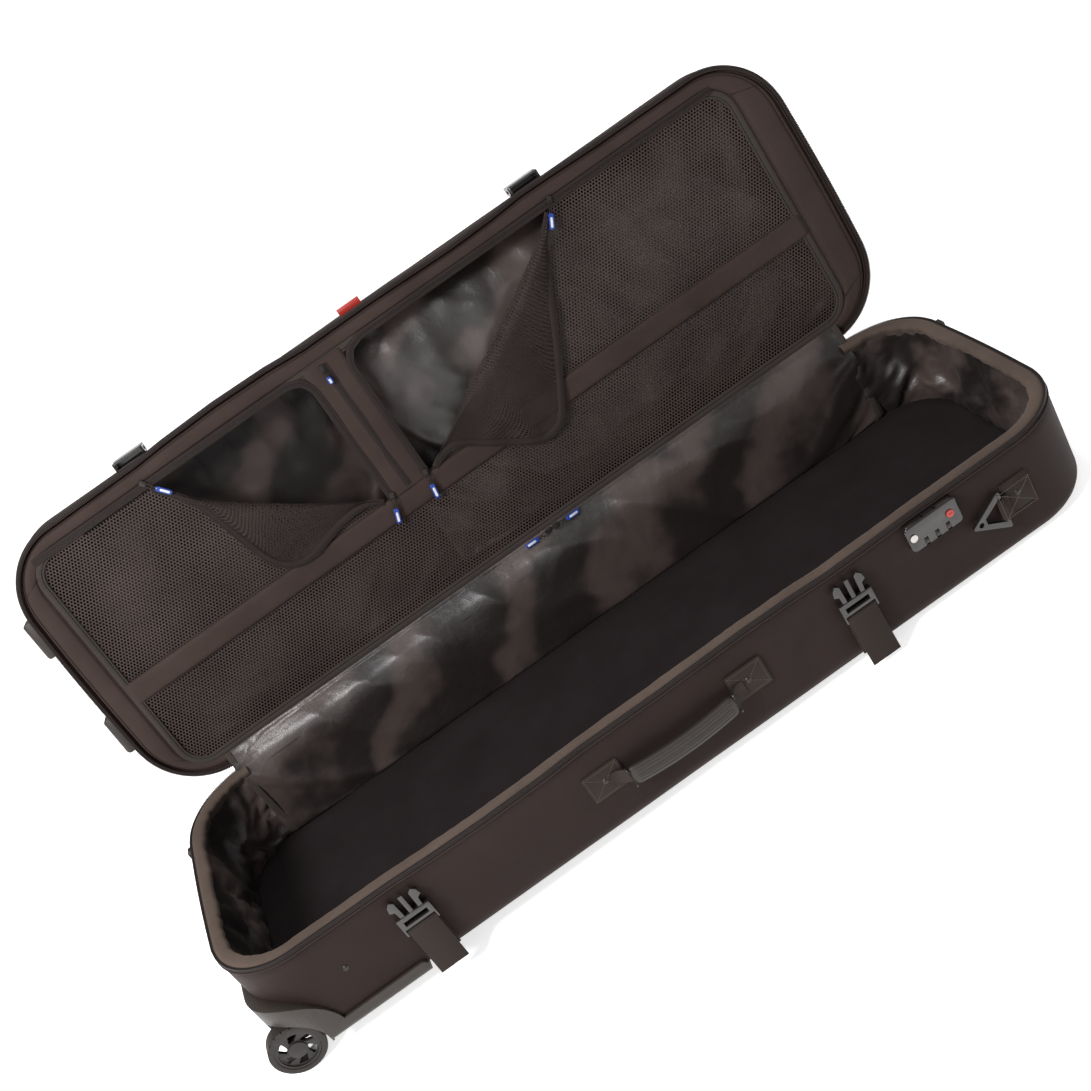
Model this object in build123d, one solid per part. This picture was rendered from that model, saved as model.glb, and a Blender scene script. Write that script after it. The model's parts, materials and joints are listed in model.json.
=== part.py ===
from build123d import *
import math
import os

# A wheeled snowboard bag, lying open: a rigid-sided base with a lid hinged along its back edge.
# Origin: centre of the base's bottom face. +X runs along the length away from the wheels,
# -Y is the front wall with the handle and lock, +Z is up. Millimetres.

# ---- driving dimensions -------------------------------------------------------------------
LENGTH = 1500.0            # outside length of base and lid, walls only
WIDTH = 511.0              # outside width, front wall to back wall
BASE_HEIGHT = 177.0        # bottom face to the top of the base's zip
LID_DEPTH = 84.0           # lid's rim to its top face
CORNER_R = 120.0           # plan radius of the four corners
EDGE_R = 30.0              # radius of the bottom edge and of the lid's top edge
WALL = 6.0                 # foam and board wall
RIM_GAP = 2.0              # between the two rims when the lid is shut
LID_OPEN = 102.0           # lid's opening angle in this model

LINER_GAP = 0.5            # between the wall and whatever lines it
LINING_T = 5.0             # padded satin wall lining
FACING_H = 28.0            # facing band below the rim
BOARD_T = 4.0              # stiffening board under the floor panel
FLOOR_T = 8.0              # padded floor panel
FIT = 0.3                  # general clearance between neighbours

ZIP_W = 5.0                # zip tape and coil, across the rim
ZIP_H = 5.0                # and along the wall
PIPING = 4.0               # piping cord, side of its section
PIPING_DROP = 8.0          # rim to the piping's middle
HINGE_OUT = 4.0            # hinge line behind the back wall
HINGE_FLAP_T = 1.5
HINGE_FLAP_H = 46.0
HINGE_FLAP_L = 1230.0

WHEEL_R = 45.0
WHEEL_W = 28.0
WHEEL_X = 20.6             # wheel axis from the end of the bag
WHEEL_Z = 10.0             # wheel axis above the bottom face
WHEEL_INSET = 12.0         # wheel's outer face behind the front wall's plane
TYRE_T = 10.0              # tread to the hub's rim
WHEEL_GAP = 8.0            # tread to the arch
AXLE_R = 4.0
AXLE_HEAD_R = 7.0
NUT_R = 7.5
NUT_T = 4.5
BEARING_R = 11.0
BEARING_W = 7.0
RUN_CLEARANCE = 0.05       # radial, in running fits
FENDER_R = 90.0            # outer edge of the moulded fender, about the wheel axis
GUARD_T = 5.0              # moulded guard outside the wall
CUP_T = 3.0                # wheel cup
CUP_END_T = 4.0
SKID_L = 235.0             # guard's length along the bottom edge, from the wheel axis
SKID_H = 24.0
SKID_W = 38.0

HANDLE_SPAN = 254.0        # between the middles of the two patches
PATCH_L = 62.0
PATCH_H = 52.0
PATCH_T = 3.0
HANDLE_Z = 100.0           # height of the handle's pivot line
GRIP_L = 184.0
GRIP_H = 34.0
GRIP_T = 16.0
GRIP_DROP = 9.0            # pivot line down to the grip's middle
GRIP_OUT = 13.0            # and out to it
GRIP_RIB = 9.0             # between the grip's grooves

LOCK_X = 470.5
LOCK_Z = 142.0
LOCK_L = 89.0
LOCK_H = 46.0
LOCK_T = 14.0
DIAL_R = 6.5
DIAL_W = 6.0
DIAL_PITCH = 19.0

RING_X = 574.0             # vertical bar of the triangular ring
RING_Z = 90.0
RING_SPAN = 60.0
RING_REACH = 50.0
RING_ROD = 3.0

STRAP_W = 48.0
STRAP_T = 1.8
BUCKLE_W = 56.0
BUCKLE_T = 10.0
BUCKLE_XS = {"left": -461.0, "right": 318.5}
BUCKLE_Z = 90.0            # ladder bar of the plug
BUCKLE_OUT = 10.5          # ladder bar in front of the wall

FRAME_T = 6.0              # border frame and bands of the lid's pocket panel
MESH_T = 3.0
PANEL_DEPTH = 7.0          # pocket panel behind the lid's rim
PANEL_MARGIN_LEFT = 55.0   # panel's opening from the wheel end
PANEL_MARGIN_RIGHT = 75.0  # and from the far end
PANEL_LOW = 30.0           # panel's opening from the back wall
PANEL_MARGIN_TOP = 38.0    # and from the front wall
PANEL_CORNER = 45.0        # radius of the opening's corners
BAND_LOW = 180.0           # divider band, from the back wall
BAND_HIGH = 222.0
STRIP_LEFT = 594.0         # centre strip between the two upper pockets, from the wheel end
STRIP_RIGHT = 672.0
POCKET_ZIP_W = 10.0
FLAP_DROP = 8.5            # folded mesh in front of the panel
FOOT_REACH = 24.0          # lid's stand feet beyond the end of the bag
FOOT_W = 72.0
FOOT_T = 30.0
FOOT_UPS = (150.0, 360.0)  # feet's middles from the back wall

SLIDER_L = 13.0
SLIDER_W = 9.0
SLIDER_T = 6.0
PULL_L = 40.0
PULL_W = 11.0
PULL_T = 2.4

# ---- derived places -----------------------------------------------------------------------
FRONT = -WIDTH / 2
BACK = WIDTH / 2
END = -LENGTH / 2
HINGE_Y = BACK + HINGE_OUT
HINGE_Z = BASE_HEIGHT + RIM_GAP / 2
LID_RIM = BASE_HEIGHT + RIM_GAP
LID_TOP = LID_RIM + LID_DEPTH
SHELL_TOP = BASE_HEIGHT - ZIP_H
AXLE_X = END + WHEEL_X
WHEEL_FACE = FRONT + WHEEL_INSET
CUP_R = WHEEL_R + WHEEL_GAP
CUP_END = WHEEL_FACE + WHEEL_W + 2.0
BOARD_Z = WALL + FIT
FLOOR_Z = BOARD_Z + BOARD_T + FIT
PANEL_Z = LID_RIM + PANEL_DEPTH
HANDLE_Y = FRONT - PATCH_T - 3.5
PANEL_LEFT = PANEL_MARGIN_LEFT
PANEL_RIGHT = LENGTH - PANEL_MARGIN_RIGHT
PANEL_HIGH = WIDTH - PANEL_MARGIN_TOP


# ---- shared shapes ------------------------------------------------------------------------
def prism(inset, low, high):
    """The bag's plan outline, moved in by inset, between two heights."""
    plan = RectangleRounded(LENGTH - 2 * inset, WIDTH - 2 * inset, CORNER_R - inset)
    return extrude(Pos(0, 0, low) * plan, high - low)


def ring(outer, inner, low, high):
    """A wall that follows the plan outline, from inset outer to inset inner."""
    return prism(outer, low, high) - prism(inner, low - 1, high + 1)


def block(x, y, z):
    """A box between two values along each axis."""
    size = (x[1] - x[0], y[1] - y[0], z[1] - z[0])
    middle = (sum(x) / 2, sum(y) / 2, sum(z) / 2)
    return Pos(*middle) * Box(*size)


def rod(radius, start, length, direction):
    """A cylinder from a start point along X, Y or Z (signed length)."""
    plane = Plane(origin=start, z_dir=direction)
    return extrude(plane * Circle(radius), length)


def plate(points, low, high):
    """A flat plate over an outline in the XY plane."""
    return extrude(Pos(0, 0, low) * make_face(Polyline(*points, close=True)), high - low)


def mirror_back(part):
    """The same piece at the back wall."""
    return mirror(part, about=Plane.XZ)


def opened(part):
    """A lid piece, drawn with the lid shut, turned to the open lid."""
    return part.rotate(Axis((0, HINGE_Y, HINGE_Z), (1, 0, 0)), -LID_OPEN)


def save(part, name):
    """Writes one node."""
    export_step(part if isinstance(part, Compound) else Compound(children=[part]), f"parts/{name}.step")


# ---- base ---------------------------------------------------------------------------------
def base_block(inset, low):
    """The base's outside, moved in by inset, with its rounded bottom edge."""
    body = prism(inset, low, SHELL_TOP)
    return fillet(body.faces().sort_by(Axis.Z)[0].edges(), EDGE_R - inset)


def cup_space(extra):
    """The room that the front wheel's cup takes, grown by extra."""
    start = (AXLE_X, FRONT - 60, WHEEL_Z)
    depth = CUP_END + CUP_END_T - (FRONT - 60) + extra
    return rod(CUP_R + CUP_T + extra, start, depth, (0, 1, 0))


def without_cups(part, extra):
    """Leaves room for both wheel cups and the nuts behind them."""
    nut_room = rod(NUT_R + 1 + extra, (AXLE_X, CUP_END, WHEEL_Z), CUP_END_T + NUT_T + 3 + extra, (0, 1, 0))
    cup = cup_space(extra) + nut_room
    return part - cup - mirror_back(cup)


def skid_rivets():
    """Rivets that hold the guards to the base."""
    y = FRONT + SKID_W / 2
    heads = []
    for x in (AXLE_X + SKID_L - 35, AXLE_X + SKID_L - 115):
        shank = rod(2.5, (x, y, -GUARD_T + 2), WALL + 6, (0, 0, 1))
        heads.append(shank + rod(5, (x, y, -GUARD_T + 2), 1.5, (0, 0, 1)))
    return heads + [mirror_back(head) for head in heads]


def wall_rivets():
    """Domed rivets on the front and back walls, above the skids, and on the webbing patches."""
    spots = [(END + 160, 94.0, 0.0), (RING_X + 33, RING_Z + 6, PATCH_T)]
    spots += [(side * HANDLE_SPAN / 2, HANDLE_Z, PATCH_T) for side in (-1, 1)]
    rivets = []
    for x, z, proud in spots:
        dome = Pos(x, FRONT - proud, z) * Rot(90, 0, 0) * (Sphere(7) - Pos(0, 0, -5.2) * Box(16, 16, 20))
        dome = Pos(0, 4.8, 0) * dome
        rivets.append(dome)
    rivets.append(mirror_back(rivets[0]))
    return rivets


def make_base():
    """Shell, boards, lining, facing, zip, piping and hinge flap of the base."""
    rivets = skid_rivets()
    shell = base_block(0, 0) - base_block(WALL, WALL)
    shell = without_cups(shell, FIT)
    board = without_cups(prism(WALL + EDGE_R - 8, BOARD_Z, BOARD_Z + BOARD_T), FIT)
    floor = without_cups(prism(WALL + EDGE_R / 2 - 3, FLOOR_Z, FLOOR_Z + FLOOR_T), FIT)
    lined = WALL + LINER_GAP
    facing_low = BASE_HEIGHT - FACING_H
    lining = ring(lined, lined + LINING_T, EDGE_R + 2, facing_low - FIT)
    lining = without_cups(lining, FIT)
    facing = ring(lined, lined + LINING_T, facing_low, BASE_HEIGHT - 0.5)
    for rivet in rivets:
        shell = shell - rivet
    save(shell, "base_shell")
    save(board, "bottom_board")
    save(floor, "floor_panel")
    save(lining, "base_lining")
    save(facing, "rim_facing")
    save(zip_tape(SHELL_TOP, BASE_HEIGHT), "base_zip_tape")
    piping_z = BASE_HEIGHT - PIPING_DROP
    save(piping(piping_z), "base_piping")
    save(hinge_flap(HINGE_Z - RIM_GAP - HINGE_FLAP_H, HINGE_Z - RIM_GAP), "base_hinge_flap")
    save(Compound(children=rivets), "guard_rivets")
    save(Compound(children=wall_rivets()), "wall_rivets")


def zip_tape(low, high):
    """Half of the main zip, round the front and both ends, open along the hinge."""
    tape = ring(0.5, 0.5 + ZIP_W, low, high)
    return tape - block((END + CORNER_R, -END - CORNER_R), (0, BACK + 10), (low - 1, high + 1))


def piping(middle):
    """Piping cord outside the wall, all the way round except behind the hinge flap."""
    cord = ring(-PIPING, -0.1, middle - PIPING / 2, middle + PIPING / 2)
    half = LENGTH / 2 - CORNER_R + 30
    return cord - block((-half, half), (0, BACK + 20), (middle - PIPING, middle + PIPING))


def hinge_flap(low, high):
    """Fabric hinge, one leaf on each rim's back wall."""
    half = HINGE_FLAP_L / 2
    return block((-half, half), (BACK + 0.2, BACK + 0.2 + HINGE_FLAP_T), (low, high))


# ---- wheels -------------------------------------------------------------------------------
def make_guard():
    """Moulded corner guard with its fender, skid and wheel cup, at the front."""
    bottom = -GUARD_T + 2
    outline = RectangleRounded(LENGTH + 2 * GUARD_T, WIDTH + 2 * GUARD_T, CORNER_R * 0.72)
    envelope = extrude(Pos(0, 0, bottom) * outline, FENDER_R + 40)
    envelope = fillet(envelope.faces().sort_by(Axis.Z)[0].edges(), 14)
    disc = rod(FENDER_R, (AXLE_X, FRONT - 20, WHEEL_Z), 165, (0, 1, 0))
    disc = disc & block((END - 40, AXLE_X + FENDER_R + 1), (FRONT - 30, FRONT + 160), (bottom, 300))
    skid = block((AXLE_X + 40, AXLE_X + SKID_L), (FRONT - 20, FRONT + SKID_W), (bottom, SKID_H))
    skid = fillet(skid.edges().filter_by(Axis.Y).sort_by(Axis.X)[-2:], 9)
    guard = (disc + skid) & envelope
    guard = guard - base_block(-FIT, -FIT)
    under = block((END - 5, AXLE_X + 70), (FRONT, CUP_END + 10), (-3, 20))
    cup = cup_space(0) & (base_block(-FIT, -FIT) + under)
    cup = cup & block((END - 1, AXLE_X + 80), (FRONT, CUP_END + 20), (bottom, 200))
    guard = guard + cup
    well = rod(CUP_R, (AXLE_X, FRONT - 60, WHEEL_Z), CUP_END - FRONT + 60, (0, 1, 0))
    axle_hole = rod(AXLE_R, (AXLE_X, CUP_END - 1, WHEEL_Z), CUP_END_T + 2, (0, 1, 0))
    nut_pocket = rod(NUT_R + 1, (AXLE_X, CUP_END + CUP_END_T, WHEEL_Z), 2 * NUT_T, (0, 1, 0))
    guard = guard - well - axle_hole - nut_pocket
    for rivet in skid_rivets():
        guard = guard - rivet
    return max(guard.solids(), key=lambda solid: solid.volume)


def make_hub():
    """Hub with its rim, barrel, cap and six curved windows, at the front."""
    rim_r = WHEEL_R - TYRE_T
    face = WHEEL_FACE + 1
    width = WHEEL_W - 2
    axis = (AXLE_X, face, WHEEL_Z)
    rim = rod(rim_r, axis, width, (0, 1, 0)) - rod(rim_r - 4, axis, width, (0, 1, 0))
    barrel_r = BEARING_R + 3.5
    web = rod(rim_r - 3, (AXLE_X, face + 3, WHEEL_Z), 6, (0, 1, 0))
    plane = Plane(origin=(AXLE_X, face, WHEEL_Z), x_dir=(1, 0, 0), z_dir=(0, 1, 0))
    for turn in range(6):
        inner = Vector(barrel_r + 2, 0)
        outer = rim_r - 5.5
        tips = [
            inner.rotate(Axis.Z, 60 * turn + 8),
            inner.rotate(Axis.Z, 60 * turn + 46),
            Vector(outer, 0).rotate(Axis.Z, 60 * turn + 62),
            Vector(outer, 0).rotate(Axis.Z, 60 * turn + 30),
        ]
        window = make_face(Polyline(*tips, close=True))
        window = fillet(window.vertices(), 2)
        web = web - extrude(plane * window, 12)
    barrel = rod(barrel_r, axis, width, (0, 1, 0))
    bore = rod(BEARING_R, (AXLE_X, face + 2, WHEEL_Z), width, (0, 1, 0))
    return rim + web + barrel - bore


def make_tyre():
    """Tread with shallow cross grooves, at the front."""
    rim_r = WHEEL_R - TYRE_T
    start = (AXLE_X, WHEEL_FACE, WHEEL_Z)
    tread = rod(WHEEL_R, start, WHEEL_W, (0, 1, 0))
    tread = fillet(tread.edges().filter_by(GeomType.CIRCLE), 3.5)
    tread = tread - rod(rim_r, start, WHEEL_W, (0, 1, 0))
    for turn in range(20):
        groove = Rot(0, 18 * turn, 0) * Pos(WHEEL_R, 0, 0) * Box(3, 7, 2.2)
        groove = Pos(AXLE_X, WHEEL_FACE + 2, WHEEL_Z) * groove
        tread = tread - groove
    return tread


def make_wheels():
    """Both wheels with their guards, axles, nuts and bearings."""
    face = WHEEL_FACE + 1
    bearings = []
    for offset in (4.4, 17.4):
        start = (AXLE_X, face + offset, WHEEL_Z)
        race = rod(BEARING_R - 0.02, start, BEARING_W, (0, 1, 0))
        bearings.append(race - rod(AXLE_R, start, BEARING_W, (0, 1, 0)))
    axle_start = (AXLE_X, face + 2.6, WHEEL_Z)
    axle_length = CUP_END + CUP_END_T + NUT_T + 1 - axle_start[1]
    axle = rod(AXLE_R - RUN_CLEARANCE, axle_start, axle_length, (0, 1, 0))
    axle = axle + rod(AXLE_HEAD_R, axle_start, 1.5, (0, 1, 0))
    nut_plane = Plane(origin=(AXLE_X, CUP_END + CUP_END_T, WHEEL_Z), z_dir=(0, 1, 0))
    nut = extrude(nut_plane * RegularPolygon(NUT_R, 6), NUT_T)
    nut = nut - rod(AXLE_R, (AXLE_X, CUP_END, WHEEL_Z), 20, (0, 1, 0))
    guard, hub, tyre = make_guard(), make_hub(), make_tyre()
    for side, place in (("front", lambda part: part), ("rear", mirror_back)):
        save(place(guard), f"wheel_guard_{side}")
        save(place(hub), f"wheel_hub_{side}")
        save(place(tyre), f"wheel_tyre_{side}")
        save(Compound(children=[place(race) for race in bearings]), f"wheel_bearings_{side}")
    save(Compound(children=[axle, mirror_back(axle)]), "axles")
    save(Compound(children=[nut, mirror_back(nut)]), "axle_nuts")


# ---- handle -------------------------------------------------------------------------------
def handle_loop(side):
    """Webbing that bends from the pivot line out to one end of the grip."""
    far, bend, near = HANDLE_SPAN / 2 - 13, GRIP_L / 2 + 6, GRIP_L / 2 - 10
    path = Polyline((side * far, HANDLE_Y), (side * bend, HANDLE_Y), (side * near, HANDLE_Y - GRIP_OUT))
    band = make_face(offset(path, amount=2, side=Side.BOTH, kind=Kind.INTERSECTION))
    return extrude(Pos(0, 0, HANDLE_Z - GRIP_DROP - 14) * band, GRIP_DROP + 16)


def make_handle():
    """Two webbing patches, two loops and the grip."""
    patches = []
    for side in (-1, 1):
        x = side * HANDLE_SPAN / 2
        height = (HANDLE_Z - PATCH_H / 2, HANDLE_Z + PATCH_H / 2)
        patch = block((x - PATCH_L / 2, x + PATCH_L / 2), (FRONT - PATCH_T, FRONT), height)
        patches.append(fillet(patch.edges().filter_by(Axis.Y), 3))
    y, z = HANDLE_Y - GRIP_OUT, HANDLE_Z - GRIP_DROP
    grip = block((-GRIP_L / 2, GRIP_L / 2), (y - GRIP_T / 2, y + GRIP_T / 2), (z - GRIP_H / 2, z + GRIP_H / 2))
    grip = fillet(grip.edges().filter_by(Axis.X), GRIP_T / 2 - 1)
    grip = fillet(grip.edges().group_by(Axis.X)[0] + grip.edges().group_by(Axis.X)[-1], 3)
    for drop in (-GRIP_RIB, 0, GRIP_RIB):
        height = (z + drop - 1.2, z + drop + 1.2)
        face = y - GRIP_T / 2
        grip = grip - block((-GRIP_L / 2 + 12, GRIP_L / 2 - 12), (face - 1, face + 1.2), height)
    loops = [handle_loop(side) - grip for side in (-1, 1)]
    loops = [max(loop.solids(), key=lambda solid: solid.volume) for loop in loops]
    save(Compound(children=patches), "handle_patches")
    save(Compound(children=loops), "handle_loops")
    save(grip, "handle_grip")


# ---- lock ---------------------------------------------------------------------------------
def make_lock():
    """Case with two slots for the zip pulls, three dials, an opening button and a key cylinder."""
    front = FRONT - LOCK_T
    height = (LOCK_Z - LOCK_H / 2, LOCK_Z + LOCK_H / 2)
    case = block((LOCK_X - LOCK_L / 2, LOCK_X + LOCK_L / 2), (front, FRONT), height)
    case = fillet(case.edges().filter_by(Axis.Y), 8)
    case = chamfer(case.faces().sort_by(Axis.Y)[0].edges(), 2)
    dial_y, dial_z = front + DIAL_R - 1.5, LOCK_Z - 15
    for x in (LOCK_X - 9, LOCK_X + 12):
        case = case - block((x - 2, x + 2), (front + 3, front + 9), (height[1] - 12, height[1] + 1))
    for step, side in ((-1, "left"), (0, "middle"), (1, "right")):
        x = LOCK_X + step * DIAL_PITCH
        room = DIAL_R + 0.5
        across = (x - DIAL_W / 2 - FIT, x + DIAL_W / 2 + FIT)
        pocket = block(across, (front - 1, dial_y + room), (dial_z - room, dial_z + room))
        case = case - pocket
        start = (x - DIAL_W / 2, dial_y, dial_z)
        dial = rod(DIAL_R, start, DIAL_W, (1, 0, 0)) - rod(1.5 + RUN_CLEARANCE, start, DIAL_W, (1, 0, 0))
        save(dial, f"lock_dial_{side}")
    reach = DIAL_PITCH + DIAL_W
    spindle = rod(1.5, (LOCK_X - reach, dial_y, dial_z), 2 * reach, (1, 0, 0))
    case = case + spindle
    for name, x, radius in (("lock_button", LOCK_X - 35.5, 6.0), ("key_cylinder", LOCK_X + 28, 6.0)):
        case = case - rod(radius + FIT, (x, front - 1, LOCK_Z + 2), 9.5, (0, 1, 0))
        piece = rod(radius, (x, front - 1.2, LOCK_Z + 2), 6.0, (0, 1, 0))
        if name == "key_cylinder":
            piece = piece - block((x - 3, x + 3), (front - 2, front + 1), (LOCK_Z + 1.4, LOCK_Z + 2.6))
        save(piece, name)
    save(case, "lock_case")


# ---- ring ---------------------------------------------------------------------------------
def make_ring():
    """Triangular ring and the webbing patch whose loop holds its bar."""
    y = FRONT - PATCH_T - RING_ROD - 2.6
    half = RING_SPAN / 2
    corners = [(RING_X, RING_Z - half), (RING_X, RING_Z + half), (RING_X - RING_REACH, RING_Z)]
    plane = Plane(origin=(0, y + RING_ROD, 0), x_dir=(1, 0, 0), z_dir=(0, -1, 0))
    outer = make_face(Polyline(*corners, close=True))
    outer = offset(outer, amount=RING_ROD, kind=Kind.ARC)
    inner_x = RING_X - RING_ROD
    narrow_x = RING_X - RING_REACH * 0.62
    window = [(inner_x, RING_Z - half + 9), (inner_x, RING_Z + half - 9)]
    window += [(narrow_x, RING_Z + 5), (narrow_x, RING_Z - 5)]
    inner = make_face(Polyline(*window, close=True))
    hole = Pos(RING_X - RING_REACH * 0.8, RING_Z) * Circle(4.2)
    triangle = extrude(plane * (outer - inner - hole), 2 * RING_ROD)
    height = (RING_Z - half + 9, RING_Z + half - 9)
    bar_space = block((RING_X - RING_ROD - 1, RING_X + RING_ROD + 1), (y - 5, y + 5), height)
    bar = rod(RING_ROD, (RING_X, y, RING_Z - half + 8), RING_SPAN - 16, (0, 0, 1))
    triangle = triangle - bar_space + bar
    save(triangle, "triangle_ring")
    loop_h = RING_SPAN / 2 + 8
    low = RING_Z - loop_h / 2
    sleeve = rod(RING_ROD + 2.2, (RING_X, y, low), loop_h, (0, 0, 1))
    tail = block((RING_X, RING_X + 14), (y, FRONT), (low, low + loop_h))
    patch = block((RING_X + 10, RING_X + 56), (FRONT - PATCH_T, FRONT), (RING_Z + 6 - 27, RING_Z + 6 + 27))
    bore = rod(RING_ROD + 0.4, (RING_X, y, low - 1), loop_h + 2, (0, 0, 1))
    save(patch + tail + sleeve - bore, "ring_patch")


# ---- straps and buckles -------------------------------------------------------------------
def strap_profile(points, x):
    """Webbing of full width that follows points in the YZ plane."""
    path = Polyline(*points)
    band = offset(path, amount=STRAP_T / 2, side=Side.BOTH, kind=Kind.INTERSECTION)
    plane = Plane(origin=(x - STRAP_W / 2, 0, 0), x_dir=(0, 1, 0), z_dir=(1, 0, 0))
    return extrude(plane * make_face(band), STRAP_W)


def make_strap(x):
    """Webbing sewn low on the front wall, round the plug's ladder bar, with a hanging tail."""
    y, z, r = FRONT - BUCKLE_OUT, BUCKLE_Z, 4.1
    fixed = strap_profile([(FRONT - 1.2, 14), (FRONT - 1.2, 58), (y + r, z - 4), (y + r, z)], x)
    tail = strap_profile([(y - r, z), (y - r, z - 8), (y - r - 3, z - 50), (y - r - 7, 2)], x)
    bar_start = (x - STRAP_W / 2, y, z)
    loop = rod(r + STRAP_T / 2, bar_start, STRAP_W, (1, 0, 0))
    loop = loop - rod(r - STRAP_T / 2, bar_start, STRAP_W, (1, 0, 0))
    loop = loop & block((x - STRAP_W, x + STRAP_W), (y - 9, y + 9), (z - 0.1, z + 9))
    return fixed + loop + tail


def make_plug(x):
    """Male half of a side-release buckle with its ladder frame."""
    y, z = FRONT - BUCKLE_OUT, BUCKLE_Z
    half, thick = BUCKLE_W / 2, BUCKLE_T / 2
    depth = (y - thick, y + thick)
    frame = block((x - half, x + half), depth, (z + 8, z + 30))
    frame = frame - block((x - 20, x + 20), (y - 9, y + 9), (z + 13, z + 22))
    for side in (-1, 1):
        arm = block((x + side * (half - 1.4) - 1.4, x + side * (half - 1.4) + 1.4), depth, (z - 4, z + 10))
        tips = [(12, 29), (19, 29), (20, 44), (27, 48), (25, 58), (19, 65), (13, 60)]
        prong = Polyline(*[(x + side * out, z + rise) for out, rise in tips], close=True)
        plane = Plane(origin=(0, y + thick - 1.5, 0), x_dir=(1, 0, 0), z_dir=(0, -1, 0))
        frame = frame + arm + extrude(plane * make_face(prong), BUCKLE_T - 3)
    guide = block((x - 3.5, x + 3.5), (y - 3.5, y + 3.5), (z + 29, z + 64))
    bar = rod(2.8, (x - half + 1, y, z), BUCKLE_W - 2, (1, 0, 0))
    return frame + guide + bar


def make_socket(x):
    """Female half of the buckle on the lid's front wall, and the webbing that holds it."""
    y, low = FRONT - BUCKLE_OUT, LID_RIM + 12
    half, thick = BUCKLE_W / 2 + 1, BUCKLE_T / 2 + 2
    body = block((x - half, x + half), (y - thick, y + thick), (low, low + 44))
    body = fillet(body.edges().filter_by(Axis.Y), 5)
    mouth = block((x - half + 4, x + half - 4), (y - thick + 2, y + thick - 2), (low - 1, low + 34))
    body = body - mouth
    for side in (-1, 1):
        window = block((x + side * half - 6, x + side * half + 6), (y - 3, y + 3), (low + 10, low + 28))
        body = body - window
    across = (x - STRAP_W / 2, x + STRAP_W / 2)
    webbing = block(across, (FRONT - STRAP_T, FRONT), (low + 30, LID_TOP - EDGE_R))
    webbing = webbing + block(across, (y + thick, FRONT), (low + 38, low + 44))
    return body, webbing


def make_straps():
    """Both front straps with their buckles."""
    straps = []
    webbings = []
    for side, x in BUCKLE_XS.items():
        straps.append(make_strap(x))
        save(make_plug(x), f"buckle_plug_{side}")
        socket, webbing = make_socket(x)
        save(opened(socket), f"buckle_socket_{side}")
        webbings.append(opened(webbing))
    save(Compound(children=straps), "front_straps")
    save(Compound(children=webbings), "lid_straps")


# ---- lid ----------------------------------------------------------------------------------
def lid_block(inset, high):
    """The lid's outside, moved in by inset, with its rounded top edge."""
    body = prism(inset, LID_RIM + ZIP_H, high)
    return fillet(body.faces().sort_by(Axis.Z)[-1].edges(), EDGE_R - inset)


def panel_point(x, up):
    """A point on the lid's pocket panel: x from the wheel end, up from the back wall."""
    return (END + x, BACK - up)


def make_pocket_panel():
    """Border frame, divider band, centre strip and pocket zips."""
    frame = prism(WALL + LINER_GAP, PANEL_Z, PANEL_Z + FRAME_T)
    low = panel_point(PANEL_LEFT, PANEL_HIGH)
    high = panel_point(PANEL_RIGHT, PANEL_LOW)
    window = block((low[0], high[0]), (low[1], high[1]), (PANEL_Z - 1, PANEL_Z + FRAME_T + 1))
    window = fillet(window.edges().filter_by(Axis.Z), PANEL_CORNER)
    bands = {
        "divider_band": ((PANEL_LEFT, PANEL_RIGHT), (BAND_LOW, BAND_HIGH)),
        "centre_strip": ((STRIP_LEFT, STRIP_RIGHT), (BAND_HIGH, PANEL_HIGH)),
    }
    save(opened(frame - window), "lid_frame")
    for name, (across, up) in bands.items():
        y = (BACK - up[1], BACK - up[0])
        band = block((END + across[0], END + across[1]), y, (PANEL_Z, PANEL_Z + FRAME_T))
        save(opened(band), name)
    zips = []
    tape = (PANEL_Z - 2, PANEL_Z)
    inner = BACK - PANEL_HIGH
    for side, end, corner in ((STRIP_LEFT, PANEL_LEFT + 30, 1), (STRIP_RIGHT, PANEL_RIGHT - 30, -1)):
        half = POCKET_ZIP_W / 2
        x = END + side + corner * half
        upright = block((x - half, x + half), (inner - POCKET_ZIP_W, BACK - BAND_HIGH), tape)
        span = sorted((END + end, x + corner * half))
        zips.append(opened(upright + block(span, (inner - POCKET_ZIP_W, inner), tape)))
    save(Compound(children=zips), "pocket_zips")


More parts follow.
